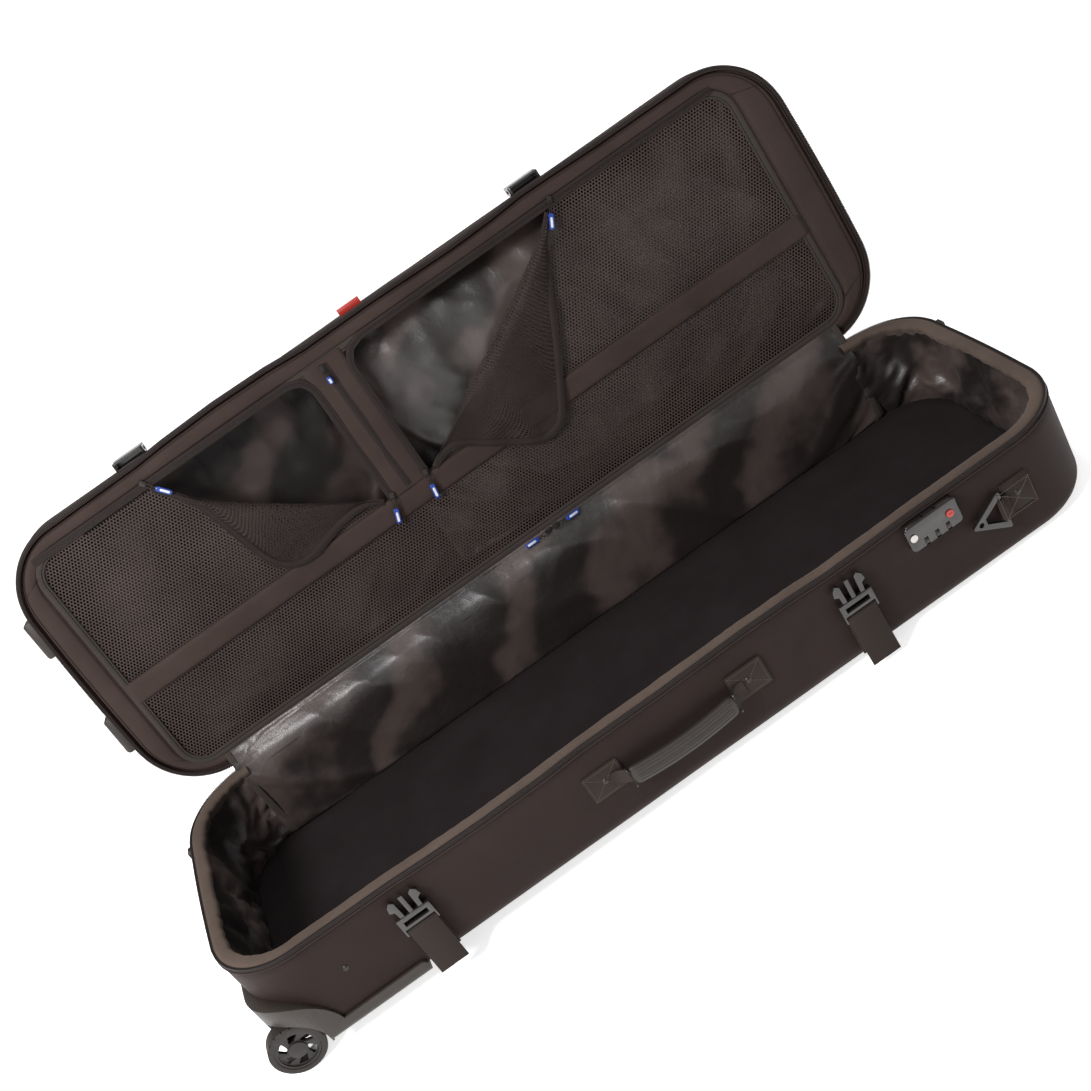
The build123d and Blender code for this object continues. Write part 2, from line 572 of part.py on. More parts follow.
def make_mesh_panels():
    """Lower mesh panel and the two upper ones, each with its unzipped corner folded down."""
    flat = (PANEL_Z + 1.5, PANEL_Z + 1.5 + MESH_T)
    edge = 0.2
    across = (END + PANEL_LEFT + edge, END + PANEL_RIGHT - edge)
    lower = block(across, (BACK - BAND_LOW + edge, BACK - PANEL_LOW - edge), flat)
    lower = fillet(lower.edges().filter_by(Axis.Z).sort_by(Axis.Y)[-2:], PANEL_CORNER + 1)
    save(opened(lower), "mesh_lower")
    bottom = BAND_HIGH + edge
    top = PANEL_HIGH - edge
    left, right = PANEL_LEFT + edge, PANEL_RIGHT - edge
    round_left = [(left, top - 46), (left + 12, top - 14), (left + 46, top)]
    round_right = [(right - 46, top), (right - 12, top - 14), (right, top - 46)]
    strip_left, strip_right = STRIP_LEFT - edge, STRIP_RIGHT + edge
    fold_left = [(300, 452), (360, 398), (440, 330), (520, 268)]
    free_left = [(333, 406), (348, 349), (370, 262), (399, 227)]
    free_left += [(432, 222), (503, 238), (554, 238), (574, 226)]
    fold_right = [(752, 268), (812, 308), (883, 344), (978, 398), (1057, 450)]
    free_right = [(1032, 411), (993, 327), (955, 251), (912, 177), (881, 157)]
    free_right += [(853, 160), (786, 203), (738, 232), (706, 236)]
    middle_left = [(strip_left, bottom + 4), (strip_left, bottom)]
    middle_right = [(strip_right, bottom), (strip_right, bottom + 6)]
    panels = {
        "mesh_left": (
            [(left, bottom), *round_left, (280, top), *fold_left, *middle_left],
            [fold_left[0], *free_left, *fold_left[:0:-1]],
        ),
        "mesh_right": (
            [*middle_right, *fold_right, (1085, top), *round_right, (right, bottom)],
            [fold_right[-1], *free_right, *fold_right[:-1]],
        ),
    }
    above_band = block((-LENGTH, LENGTH), (-WIDTH, BACK - BAND_HIGH - 1), (0, 400))
    for name, (outline, fold) in panels.items():
        panel = plate([panel_point(*point) for point in outline], *flat)
        folded = [panel_point(*point) for point in fold]
        flap = plate(folded, PANEL_Z - FLAP_DROP, PANEL_Z - 1)
        joint = plate(folded, PANEL_Z - 2, PANEL_Z + 2) & above_band
        save(opened(panel + flap + joint), name)


def make_lid():
    """Shell, lining, zip, piping, hinge flap, stand feet and tab of the lid."""
    shell = lid_block(0, LID_TOP) - lid_block(WALL, LID_TOP - WALL)
    shell = shell - prism(WALL, LID_RIM, LID_RIM + ZIP_H + 1)
    save(opened(shell), "lid_shell")
    lining_z = LID_TOP - WALL - 6
    save(opened(prism(WALL + 14, lining_z, lining_z + 2.5)), "lid_lining")
    save(opened(zip_tape(LID_RIM, LID_RIM + ZIP_H)), "lid_zip_tape")
    save(opened(piping(LID_RIM + PIPING_DROP)), "lid_piping")
    save(opened(hinge_flap(HINGE_Z + RIM_GAP, HINGE_Z + RIM_GAP + HINGE_FLAP_H)), "lid_hinge_flap")
    feet = []
    for up in FOOT_UPS:
        y = BACK - up
        low = LID_RIM + 32
        foot = block((END - FOOT_REACH, END), (y - FOOT_W / 2, y + FOOT_W / 2), (low, low + FOOT_T))
        foot = fillet(foot.faces().sort_by(Axis.X)[0].edges(), 8)
        feet.append(opened(foot))
    save(Compound(children=feet), "stand_feet")
    tab = block((-50, -8), (FRONT - 14, FRONT), (LID_RIM + 30, LID_RIM + 32))
    save(opened(tab), "side_tab")


# ---- zip sliders --------------------------------------------------------------------------
def make_slider(x, y, z, turn, pull=PULL_L):
    """A zip slider with its cord pull below z, the pull along -X turned about Z by turn degrees."""
    body = fillet(Box(SLIDER_L, SLIDER_W, SLIDER_T).edges().filter_by(Axis.Z), 3)
    bail = Pos(-3, 0, -4.6) * Box(7, 3, 4)
    tag = Pos(-6 - pull / 2, 0, -5.6) * Box(pull, PULL_W, PULL_T)
    tag = fillet(tag.edges().filter_by(Axis.Z), 4)
    link = Pos(-7, 0, -5.6) * Box(6, 3, 2)
    return Pos(x, y, z) * Rot(0, 0, turn) * (body + bail + link + tag)


def make_sliders():
    """Sliders of the pocket zips, of the hinge lining, and of the main zip."""
    height = PANEL_Z - 5.3
    top = BACK - PANEL_HIGH - POCKET_ZIP_W / 2
    side_up = BACK - BAND_HIGH - 4
    places = {
        "slider_pocket_left_top": (END + 284, top, -128, PULL_L),
        "slider_pocket_left_side": (END + STRIP_LEFT + POCKET_ZIP_W / 2, side_up, -70, PULL_L),
        "slider_pocket_right_side": (END + STRIP_RIGHT - POCKET_ZIP_W / 2, side_up, -82, PULL_L),
        "slider_pocket_right_top": (END + 1086, top, -62, PULL_L),
        "slider_centre": (END + (STRIP_LEFT + STRIP_RIGHT) / 2 - 6, top + 14, -90, PULL_L / 2),
        "slider_hinge_left": (END + 782, BACK - 19, 0, PULL_L),
        "slider_hinge_right": (END + 797, BACK - 19, 180, PULL_L),
    }
    for name, (x, y, turn, pull) in places.items():
        save(opened(make_slider(x, y, height, turn, pull)), name)
    for side, x in (("left", END - 3.4), ("right", -END + 3.4)):
        body = fillet(Box(6, 14, 6).edges().filter_by(Axis.X), 2)
        tag = Pos(math.copysign(5, x), 0, -20) * Box(2.4, 10, 36)
        link = Pos(math.copysign(3.6, x), 0, -3) * Box(4, 3, 5)
        save(Pos(x, BACK - CORNER_R - 8, BASE_HEIGHT - 2.5) * (body + link + tag), f"slider_main_{side}")


os.makedirs("parts", exist_ok=True)
make_base()
make_wheels()
make_handle()
make_lock()
make_ring()
make_straps()
make_lid()
make_pocket_panel()
make_mesh_panels()
make_sliders()
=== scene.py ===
"""Looks of a wheeled snowboard bag that lies open: shells, lining, mesh pockets, straps and hardware."""

from __future__ import annotations

import json
import logging
import math
from dataclasses import dataclass, field
from enum import Enum

import bpy
import numpy as np
from mathutils import Matrix, Vector

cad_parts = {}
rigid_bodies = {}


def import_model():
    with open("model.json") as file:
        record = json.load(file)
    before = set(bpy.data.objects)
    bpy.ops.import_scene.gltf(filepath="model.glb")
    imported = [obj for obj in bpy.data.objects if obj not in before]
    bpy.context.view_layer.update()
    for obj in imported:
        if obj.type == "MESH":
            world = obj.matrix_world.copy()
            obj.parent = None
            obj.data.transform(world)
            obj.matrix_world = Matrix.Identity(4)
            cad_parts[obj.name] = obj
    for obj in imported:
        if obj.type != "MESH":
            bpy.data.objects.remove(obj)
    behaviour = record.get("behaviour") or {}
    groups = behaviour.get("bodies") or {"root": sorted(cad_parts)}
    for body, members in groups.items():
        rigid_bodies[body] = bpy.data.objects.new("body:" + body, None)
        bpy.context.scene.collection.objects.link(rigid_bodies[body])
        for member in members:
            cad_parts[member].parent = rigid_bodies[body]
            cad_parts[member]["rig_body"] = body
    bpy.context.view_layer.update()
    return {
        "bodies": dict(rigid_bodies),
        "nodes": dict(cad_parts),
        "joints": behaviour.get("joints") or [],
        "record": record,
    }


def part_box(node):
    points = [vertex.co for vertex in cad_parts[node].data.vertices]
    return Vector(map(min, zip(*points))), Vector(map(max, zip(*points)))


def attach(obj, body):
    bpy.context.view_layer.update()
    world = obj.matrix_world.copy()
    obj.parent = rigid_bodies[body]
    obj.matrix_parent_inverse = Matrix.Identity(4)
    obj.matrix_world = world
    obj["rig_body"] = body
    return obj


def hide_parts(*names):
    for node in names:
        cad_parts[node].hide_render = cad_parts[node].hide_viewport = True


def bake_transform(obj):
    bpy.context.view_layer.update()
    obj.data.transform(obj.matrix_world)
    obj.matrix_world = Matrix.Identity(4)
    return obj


LOG = logging.getLogger("bag")
MM = 0.001
TAU = 2 * math.pi


# ---- shader kit ---------------------------------------------------------------------------
class Val:
    """A shader socket on which arithmetic adds the maths nodes it needs."""

    def __init__(self, kit: "Kit", socket: bpy.types.NodeSocket) -> None:
        self.kit = kit
        self.socket = socket

    def _do(self, operation: str, *others: "Val | float") -> "Val":
        """Adds one Math node.

        Args:
            operation: the Math node's operation.
            others: its other inputs.

        Returns:
            The node's output.
        """
        return self.kit.add("ShaderNodeMath", {"operation": operation}, [self, *others])

    def __add__(self, other: "Val | float") -> "Val":
        """Sum."""
        return self._do("ADD", other)

    __radd__ = __add__

    def __mul__(self, other: "Val | float") -> "Val":
        """Product."""
        return self._do("MULTIPLY", other)

    __rmul__ = __mul__

    def __sub__(self, other: "Val | float") -> "Val":
        """Difference."""
        return self._do("SUBTRACT", other)

    def __rsub__(self, other: float) -> "Val":
        """Difference from a number."""
        return self * -1.0 + other

    def __truediv__(self, other: "Val | float") -> "Val":
        """Quotient."""
        return self._do("DIVIDE", other)

    def __pow__(self, other: "Val | float") -> "Val":
        """Power."""
        return self._do("POWER", other)

    def sin(self) -> "Val":
        """Sine."""
        return self._do("SINE")

    def absolute(self) -> "Val":
        """Size without sign."""
        return self._do("ABSOLUTE")

    def wrap(self, period: float) -> "Val":
        """Remainder in a period, from 0."""
        return self._do("WRAP", period, 0.0)

    def at_most(self, other: "Val | float") -> "Val":
        """The smaller of the two."""
        return self._do("MINIMUM", other)

    def step(self, low: float, high: float) -> "Val":
        """A smooth step from 0 at low to 1 at high."""
        settings = {"interpolation_type": "SMOOTHSTEP"}
        return self.kit.add("ShaderNodeMapRange", settings,
                            {"Value": self, "From Min": low, "From Max": high})


class Kit:
    """Builds one material: nodes, links and the surface shader."""

    def __init__(self, name: str) -> None:
        """Makes an empty material with a Principled surface."""
        self.material = bpy.data.materials.new(name)
        self.material.use_nodes = True
        self.tree = self.material.node_tree
        self.tree.nodes.clear()
        self.output = self.tree.nodes.new("ShaderNodeOutputMaterial")
        self.shader = self.tree.nodes.new("ShaderNodeBsdfPrincipled")
        self.tree.links.new(self.shader.outputs[0], self.output.inputs[0])

    def add(self, kind: str, settings: dict | None = None, sockets: dict | list | None = None,
            out: int | str = 0) -> Val:
        """Adds any node.

        Args:
            kind: the node's type.
            settings: properties set before its sockets.
            sockets: values or links by name or in order.
            out: the output that is returned.

        Returns:
            That output.
        """
        node = self.tree.nodes.new(kind)
        for key, value in (settings or {}).items():
            setattr(node, key, value)
        pairs = sockets.items() if isinstance(sockets, dict) else enumerate(sockets or [])
        for key, value in pairs:
            if isinstance(value, Val):
                self.tree.links.new(value.socket, node.inputs[key])
            else:
                node.inputs[key].default_value = value
        return Val(self, node.outputs[out])

    def place(self) -> Val:
        """Object coordinates, in metres."""
        return self.add("ShaderNodeTexCoord", out="Object")

    def along(self) -> tuple[Val, Val]:
        """The piece's own cloth coordinates, in metres, across and along."""
        uv = self.add("ShaderNodeUVMap", {"uv_map": "cloth"})
        across = self.add("ShaderNodeSeparateXYZ", None, [uv])
        return across, Val(self, across.socket.node.outputs[1])

    def noise(self, scale: float, detail: float = 2.0, rough: float = 0.5, at: Val | None = None) -> Val:
        """Fractal noise from 0 to 1 over the object."""
        sockets = {"Vector": at or self.place(), "Scale": scale, "Detail": detail, "Roughness": rough}
        return self.add("ShaderNodeTexNoise", None, sockets)

    def mix(self, share: Val, one: tuple, two: tuple) -> Val:
        """A colour between two."""
        return self.add("ShaderNodeMix", {"data_type": "RGBA"}, {0: share, 6: (*one, 1), 7: (*two, 1)}, 2)

    def bump(self, height: Val, depth: float, strength: float = 1.0) -> Val:
        """A normal from a height map whose full height is depth metres."""
        return self.add("ShaderNodeBump", None, {"Height": height, "Distance": depth, "Strength": strength})

    def finish(self, **sockets: Val | float | tuple) -> bpy.types.Material:
        """Sets the surface's sockets, named with underscores for spaces.

        Args:
            sockets: a value or a link for each.

        Returns:
            The material.
        """
        for key, value in sockets.items():
            target = self.shader.inputs[key.replace("_", " ")]
            if isinstance(value, Val):
                self.tree.links.new(value.socket, target)
            elif isinstance(value, tuple):
                target.default_value = (*value, 1)
            else:
                target.default_value = value
        return self.material


Colour = tuple[float, float, float]


def scaled(colour: Colour, factor: float) -> Colour:
    """The colour made lighter or darker."""
    return tuple(channel * factor for channel in colour)


class Weave(Enum):
    """How a cloth is woven."""

    PLAIN = 1
    TWILL = 2
    RIB = 3


@dataclass(frozen=True)
class Cloth:
    """Woven cloth with its thread pattern and mottling."""

    name: str
    colour: Colour
    weave: Weave = Weave.PLAIN
    pitch: float = 1.5 * MM
    depth: float = 0.25 * MM
    roughness: float = 0.75
    sheen: float = 0.04
    mottle: float = 0.22

    def make(self) -> bpy.types.Material:
        """The material."""
        kit = Kit(self.name)
        u, v = kit.along()
        turns = TAU / self.pitch
        if self.weave is Weave.PLAIN:
            thread = (u * turns).sin() * (v * turns).sin() * 0.5 + 0.5
        elif self.weave is Weave.TWILL:
            thread = ((u + v * 0.55) * turns).sin() * 0.5 + 0.5
        else:
            thread = ((u * turns).sin().absolute() + (v * turns * 0.5).sin().absolute() * 0.35) * 0.74
        blotch = kit.noise(9.0, 4.0, 0.6)
        slub = kit.noise(420.0, 2.0, 0.6)
        share = (blotch * 0.55 + slub * 0.25 + thread * 0.2).step(0.25, 0.75)
        base = kit.mix(share, scaled(self.colour, 1 - self.mottle), scaled(self.colour, 1 + self.mottle))
        rough = (self.roughness + 0.08) - thread * 0.1 - blotch * 0.06
        normal = kit.bump(thread * 0.75 + slub * 0.25, self.depth, 0.6)
        return kit.finish(Base_Color=base, Roughness=rough, Normal=normal, Sheen_Weight=self.sheen,
                          Sheen_Roughness=0.5,
                          Sheen_Tint=(0.9, 0.72, 0.64), Specular_IOR_Level=0.08)


@dataclass(frozen=True)
class Satin:
    """Thin lining cloth with a soft gloss, fine creases and broad pale and dark bands in its colour, which
    are painted sheen and painted shade.
    """

    name: str
    colour: Colour
    roughness: float = 0.36
    gloss: float = 0.55
    # width of the broad bands of painted sheen and painted shade, in metres
    band: float = 0.26
    crease: float = 0.8 * MM

    def make(self) -> bpy.types.Material:
        """The material."""
        kit = Kit(self.name)
        u, v = kit.along()
        fine = ((u + v * 0.3) * (TAU / (0.9 * MM))).sin() * 0.5 + 0.5
        crinkle = kit.noise(26.0, 4.0, 0.55)
        sharp = 1 - (crinkle - 0.5).absolute() * 2.0
        broad = kit.noise(5.0, 3.0, 0.5)
        # painted sheen and painted shade: diagonal bands and crease crests are lightened up to 2.5 times the
        # colour, the rest darkened to 0.55 times
        bands = ((u - v * 0.9) * (TAU / self.band) + broad * 11.0).sin() * 0.5 + 0.5
        share = (bands * 0.7 + sharp * 0.15 + broad * 0.15).step(0.38, 0.92)
        base = kit.mix(share, scaled(self.colour, 0.55), scaled(self.colour, 2.5))
        rough = self.roughness + broad * 0.12 - share * 0.06
        folds = kit.bump(sharp ** 3.0, self.crease, 0.45)
        thread = kit.add("ShaderNodeBump", None,
                         {"Height": fine, "Distance": 0.12 * MM, "Strength": 0.4, "Normal": folds})
        return kit.finish(Base_Color=base, Roughness=rough, Normal=thread, Sheen_Weight=0.02,
                          Specular_IOR_Level=self.gloss)


@dataclass(frozen=True)
class Net:
    """Knitted mesh: a honeycomb of open cells with thick ribs."""

    name: str
    colour: Colour
    cell: float = 5.8 * MM
    rib: float = 0.22

    def make(self) -> bpy.types.Material:
        """The material."""
        kit = Kit(self.name)
        u, v = kit.along()
        across, rise = u / self.cell, v / (self.cell * math.sqrt(3))
        cells = []
        for shift in (0.0, 0.5):
            x = (across + shift).wrap(1.0) - 0.5
            y = ((rise + shift).wrap(1.0) - 0.5) * math.sqrt(3)
            cells.append((x * x + y * y) ** 0.5)
        reach = cells[0].at_most(cells[1])
        solid = reach.step(0.5 - self.rib, 0.5 - self.rib + 0.09)
        blotch = kit.noise(11.0, 3.0)
        yarn = kit.noise(900.0, 1.0)
        base = kit.mix((blotch * 0.6 + yarn * 0.4).step(0.25, 0.8), scaled(self.colour, 0.75),
                       scaled(self.colour, 1.35))
        normal = kit.bump(solid * 0.8 + yarn * 0.2, 0.7 * MM, 0.8)
        return kit.finish(Base_Color=base, Roughness=0.7 - yarn * 0.12, Alpha=solid, Normal=normal,
                          Specular_IOR_Level=0.15)


@dataclass(frozen=True)
class Moulded:
    """Moulded plastic or rubber with a fine grain and rubbed edges."""

    name: str
    colour: Colour
    roughness: float = 0.48
    grain: float = 0.10 * MM
    grain_scale: float = 1500.0
    rub: float = 0.5
    metallic: float = 0.0
    coat: float = 0.0
    gloss: float = 0.3

    def make(self) -> bpy.types.Material:
        """The material."""
        kit = Kit(self.name)
        grain = kit.noise(self.grain_scale, 2.0, 0.55)
        blotch = kit.noise(24.0, 4.0, 0.6)
        edge = kit.add("ShaderNodeNewGeometry", out="Pointiness").step(0.52, 0.62)
        worn = (edge * (blotch * 0.8 + 0.3)).at_most(1.0) * self.rub
        base = kit.mix((blotch * 0.35 + worn).at_most(1.0), scaled(self.colour, 0.85),
                       scaled(self.colour, 2.1))
        rough = self.roughness + (blotch - 0.5) * 0.14 - worn * 0.1
        normal = kit.bump(grain, self.grain, 0.7)
        return kit.finish(Base_Color=base, Roughness=rough, Normal=normal, Metallic=self.metallic,
                          Coat_Weight=self.coat,
                          Specular_IOR_Level=self.gloss)


BROWN_BLACK: Colour = (0.0165, 0.0100, 0.0092)
FINISHES: dict[str, Cloth | Satin | Net | Moulded] = {
    "shell": Cloth("shell_polyester", BROWN_BLACK, Weave.TWILL, 1.3 * MM, 0.16 * MM, 0.62),
    "panel": Cloth("panel_polyester", (0.035, 0.0235, 0.0205), Weave.PLAIN, 1.2 * MM, 0.16 * MM, 0.66),
    "facing": Cloth("facing_tape", (0.064, 0.047, 0.038), Weave.RIB, 1.6 * MM, 0.3 * MM, 0.8, 0.1, 0.3),
    "binding": Cloth("binding_tape", (0.020, 0.0145, 0.0135), Weave.RIB, 1.2 * MM, 0.2 * MM, 0.7, 0.05),
    "webbing": Cloth("strap_webbing", (0.022, 0.0165, 0.0145), Weave.RIB, 2.0 * MM, 0.5 * MM, 0.65, 0.08,
                     0.15),
    "seam": Cloth("seam_tape", (0.034, 0.028, 0.025), Weave.RIB, 1.2 * MM, 0.2 * MM, 0.7),
    "floor": Cloth("floor_felt", (0.0105, 0.0080, 0.0085), Weave.PLAIN, 1.1 * MM, 0.15 * MM, 0.9, 0.02, 0.3),
    "lining": Satin("satin_lining", (0.0225, 0.0165, 0.0150), 0.33),
    # a darker copy of the satin lining: painted shade for the left pocket's satin, which is the same cloth as
    # the right's
    "painted_shade_lining": Satin("painted_shade_satin_lining", (0.0115, 0.0080, 0.0075), 0.5, 0.15),
    "net": Net("knitted_net", (0.044, 0.031, 0.028)),
    # a darker copy of the net: painted shade for the folded net corners, which are the same net as the flat
    # panels
    "folded_net": Net("painted_shade_knitted_net", (0.026, 0.0180, 0.0165)),
    "guard": Moulded("guard_plastic", (0.026, 0.0205, 0.0175), 0.5, 0.12 * MM, 900.0, 0.25),
    "buckle": Moulded("buckle_plastic", (0.012, 0.0092, 0.0085), 0.26, 0.05 * MM, 1500.0, 0.6, 0.0, 0.25,
                      0.5),
    "hub": Moulded("hub_plastic", (0.014, 0.0110, 0.0098), 0.4, 0.05 * MM, 1500.0, 0.4),
    "tread": Moulded("tread_rubber", (0.017, 0.0130, 0.0115), 0.62, 0.1 * MM, 1300.0, 0.4),
    "grip": Moulded("grip_rubber", (0.022, 0.0175, 0.0155), 0.55, 0.1 * MM, 1600.0, 0.3),
    "coil": Moulded("zip_coil", (0.014, 0.011, 0.010), 0.38, 0.02 * MM, 2500.0, 0.8),
    "dark_metal": Moulded("black_enamel", (0.030, 0.026, 0.024), 0.32, 0.03 * MM, 700.0, 1.0, 0.6),
    "steel": Moulded("zinc_steel", (0.42, 0.40, 0.38), 0.34, 0.03 * MM, 700.0, 0.3, 1.0),
    "blue": Moulded("blue_cord_pull", (0.010, 0.036, 0.22), 0.38, 0.04 * MM, 1200.0, 0.25, 0.0, 0.2),
    "white": Moulded("pull_core", (0.45, 0.47, 0.50), 0.4, 0.03 * MM, 1200.0, 0.1),
    "red": Moulded("red_plastic", (0.30, 0.025, 0.018), 0.35, 0.02 * MM, 1200.0, 0.3, 0.0, 0.3),
    "thread": Cloth("stitching_thread", (0.085, 0.066, 0.055), Weave.RIB, 0.6 * MM, 0.1 * MM, 0.6, 0.1),
}
_MADE: dict[str, bpy.types.Material] = {}


def finish_of(name: str) -> bpy.types.Material:
    """The material of a finish, made once."""
    if name not in _MADE:
        _MADE[name] = FINISHES[name].make()
    return _MADE[name]


# ---- mesh helpers -------------------------------------------------------------------------
class Seeded:
    """Smooth repeatable waves that stand in for random noise."""

    def __init__(self, seed: int, waves: int = 10) -> None:
        """Draws the waves' directions and phases."""
        draw = np.random.default_rng(seed)
        angle = draw.uniform(0, TAU, waves)
        rate = draw.uniform(0.45, 1.7, waves)
        self.kx, self.ky = np.cos(angle) * rate, np.sin(angle) * rate
        self.phase = draw.uniform(0, TAU, waves)
        self.size = 1 / rate
        self.size /= self.size.sum()

    def at(self, x: np.ndarray, y: np.ndarray, length: float) -> np.ndarray:
        """Height from about -1 to 1.

        Args:
            x: first coordinate, metres.
            y: second coordinate, metres.
            length: the usual length of a wave, metres.

        Returns:
            One height for each point.
        """
        k = TAU / length
        terms = [s * np.sin(k * (a * x + b * y) + p) for a, b, p,
                 s in zip(self.kx, self.ky, self.phase, self.size)]
        return 1.9 * sum(terms)

    def folds(self, x: np.ndarray, y: np.ndarray, length: float) -> np.ndarray:
        """Sharp-crested folds from 0 to 1."""
        return (1 - np.abs(self.at(x, y, length))).clip(0, 1) ** 1.6

    def round_about(self, points: np.ndarray, length: float, squash: float = 1.0) -> np.ndarray:
        """Height from about -1 to 1 at points in space.

        Args:
            points: the points.
            length: the usual length of a wave, metres.
            squash: how much shorter the waves are up the wall.

        Returns:
            One height for each point.
        """
        turned = points[..., 0] * 0.8 + points[..., 1] * 1.1
        across = points[..., 1] * 0.7 - points[..., 0] * 0.35 + points[..., 2] * squash
        return self.at(turned, across, length)


def new_piece(name: str, verts: np.ndarray, faces: list, finish: str, uv: np.ndarray | None = None,
              sharp: float = 50.0) -> bpy.types.Object:
    """Makes a mesh object.

    Args:
        name: the piece's name.
        verts: its points.
        faces: its faces, as lists of indices.
        finish: its finish.
        uv: cloth coordinates for each face corner, in metres.
        sharp: edges that bend more than this many degrees stay sharp.

    Returns:
        The object, in the scene.
    """
    mesh = bpy.data.meshes.new(name)
    mesh.from_pydata(np.asarray(verts, float).reshape(-1, 3).tolist(), [], [list(map(int, f)) for f in faces])
    layer = mesh.uv_layers.new(name="cloth")
    if uv is None:
        corners = np.zeros(len(mesh.loops), int)
        mesh.loops.foreach_get("vertex_index", corners)
        flat = np.asarray(verts, float).reshape(-1, 3)[corners]
        uv = np.stack([flat[:, 0] + flat[:, 1] * 0.5, flat[:, 2] + flat[:, 1] * 0.5], -1)
    layer.data.foreach_set("uv", np.asarray(uv, np.float32).ravel())
    mesh.materials.append(finish_of(finish))
    mesh.validate()
    mesh.shade_smooth()
    mesh.set_sharp_from_angle(angle=math.radians(sharp))
    piece = bpy.data.objects.new(name, mesh)
    bpy.context.scene.collection.objects.link(piece)
    return piece


def grid_faces(rows: int, cols: int, wrap: bool) -> tuple[np.ndarray, np.ndarray]:
    """Quads over a grid of points.

    Args:
        rows: points down.
        cols: points across.
        wrap: whether the last column joins the first.

    Returns:
        The quads, and the row and column of each corner.
    """
    i, j = np.meshgrid(np.arange(rows - 1), np.arange(cols if wrap else cols - 1), indexing="ij")
    corners = np.stack([np.stack([i, j], -1), np.stack([i, j + 1], -1), np.stack([i + 1, j + 1], -1),
                        np.stack([i + 1, j], -1)], 2)
    quads = corners[..., 0] * cols + corners[..., 1] % cols
    return quads.reshape(-1, 4), corners.reshape(-1, 4, 2)


def grid_piece(name: str, points: np.ndarray, finish: str, across: np.ndarray, down: np.ndarray,
               wrap: bool = False,
               caps: bool = False, flip: bool = False, sharp: float = 50.0) -> bpy.types.Object:
    """A cloth or shell over a grid of points.

    Args:
        name: the piece's name.
        points: rows by columns by 3.
        finish: its finish.
        across: cloth distance of each column, one more than the columns where it wraps.
        down: cloth distance of each row.
        wrap: whether it closes on itself.
        caps: whether the first and last rows are closed with a flat face.
        flip: turns the faces over.
        sharp: edges that bend more than this many degrees stay sharp.

    Returns:
        The object.
    """
    rows, cols = points.shape[:2]
    quads, corners = grid_faces(rows, cols, wrap)
    uv = np.stack([across[corners[..., 1]], down[corners[..., 0]]], -1).reshape(-1, 2)
    faces = [list(q) for q in quads]
    extra = []
    if caps:
        flat = points.reshape(-1, 3)
        for loop in (range(cols - 1, -1, -1), range((rows - 1) * cols, rows * cols)):
            faces.append(list(loop))
            extra.append(flat[list(loop), :2])
    if extra:
        uv = np.concatenate([uv, *extra])
    if flip:
        faces = [f[::-1] for f in faces]
        starts = np.cumsum([0] + [len(f) for f in faces])
        uv = np.concatenate([uv[a:b][::-1] for a, b in zip(starts[:-1], starts[1:])])
    return new_piece(name, points, faces, finish, uv, sharp)


def sweep(line: np.ndarray, normal: np.ndarray, side: np.ndarray, section: np.ndarray) -> np.ndarray:
    """Carries a cross-section along a line.

    Args:
        line: points of the line.
        normal: the section's second axis at each point.
        side: the section's first axis at each point.
        section: the section's points, two numbers each.

    Returns:
        Section points by line points by 3.
    """
    return line[None] + section[:, None, :1] * side[None] + section[:, None, 1:] * normal[None]


def circle(radius: float, count: int = 10) -> np.ndarray:
    """Points of a circle, last joined to first by the caller."""
    angle = np.linspace(0, TAU, count, endpoint=False)
    return np.stack([np.cos(angle), np.sin(angle)], -1) * radius


def frames(line: np.ndarray, up: np.ndarray) -> tuple[np.ndarray, np.ndarray]:
    """Side and normal axes along a line, the normal as near to up as it can be."""
    along = np.gradient(line, axis=0)
    along /= np.linalg.norm(along, axis=1, keepdims=True) + 1e-12
    side = np.cross(along, np.broadcast_to(up, line.shape))
    side /= np.linalg.norm(side, axis=1, keepdims=True) + 1e-12
    return side, np.cross(side, along)


def tube(name: str, line: np.ndarray, radius: float, finish: str, closed: bool = False,
         count: int = 8) -> bpy.types.Object:
    """A round cord along a line."""
    side, normal = frames(line, np.array([0.0, 0.0, 1.0]))
    section = circle(radius, count)
    grid = sweep(line, normal, side, section).transpose(1, 0, 2)
    run = np.concatenate([[0], np.cumsum(np.linalg.norm(np.diff(line, axis=0), axis=1))])
    if closed:
        grid = np.concatenate([grid, grid[:1]])
        run = np.append(run, run[-1])
    round_it = np.linspace(0, TAU * radius, count + 1)
    return grid_piece(name, grid, finish, round_it, run, wrap=True, caps=not closed)


def boxes(name: str, centres: np.ndarray, axes: np.ndarray, half: np.ndarray, finish: str,
          taper: float = 1.0) -> bpy.types.Object:
    """Many small blocks, as stitches or zip teeth.

    Args:
        name: the piece's name.
        centres: their middles.
        axes: three unit axes for each.
        half: half sizes along the axes.
        finish: their finish.
        taper: the size of the far face along the third axis against the near one.

    Returns:
        One object.
    """
    unit = np.array([[x, y, z] for z in (-1, 1) for y in (-1, 1) for x in (-1, 1)], float)
    unit[4:, :2] *= taper
    local = unit * half
    points = centres[:, None] + np.einsum("nk,mkd->mnd", local, axes)
    cube = np.array([[0, 2, 3, 1], [4, 5, 7, 6], [0, 1, 5, 4], [2, 6, 7, 3], [0, 4, 6, 2], [1, 3, 7, 5]])
    faces = (cube[None] + 8 * np.arange(len(centres))[:, None, None]).reshape(-1, 4)
    return new_piece(name, points.reshape(-1, 3), list(faces), finish, sharp=30)


def resample(line: np.ndarray, spacing: float) -> np.ndarray:
    """The line with points at an even spacing."""
    line = np.asarray(line, float)
    run = np.concatenate([[0], np.cumsum(np.linalg.norm(np.diff(line, axis=0), axis=1))])
    count = max(2, int(round(run[-1] / spacing)) + 1)
    at = np.linspace(0, run[-1], count)
    return np.stack([np.interp(at, run, line[:, k]) for k in range(line.shape[1])], -1)


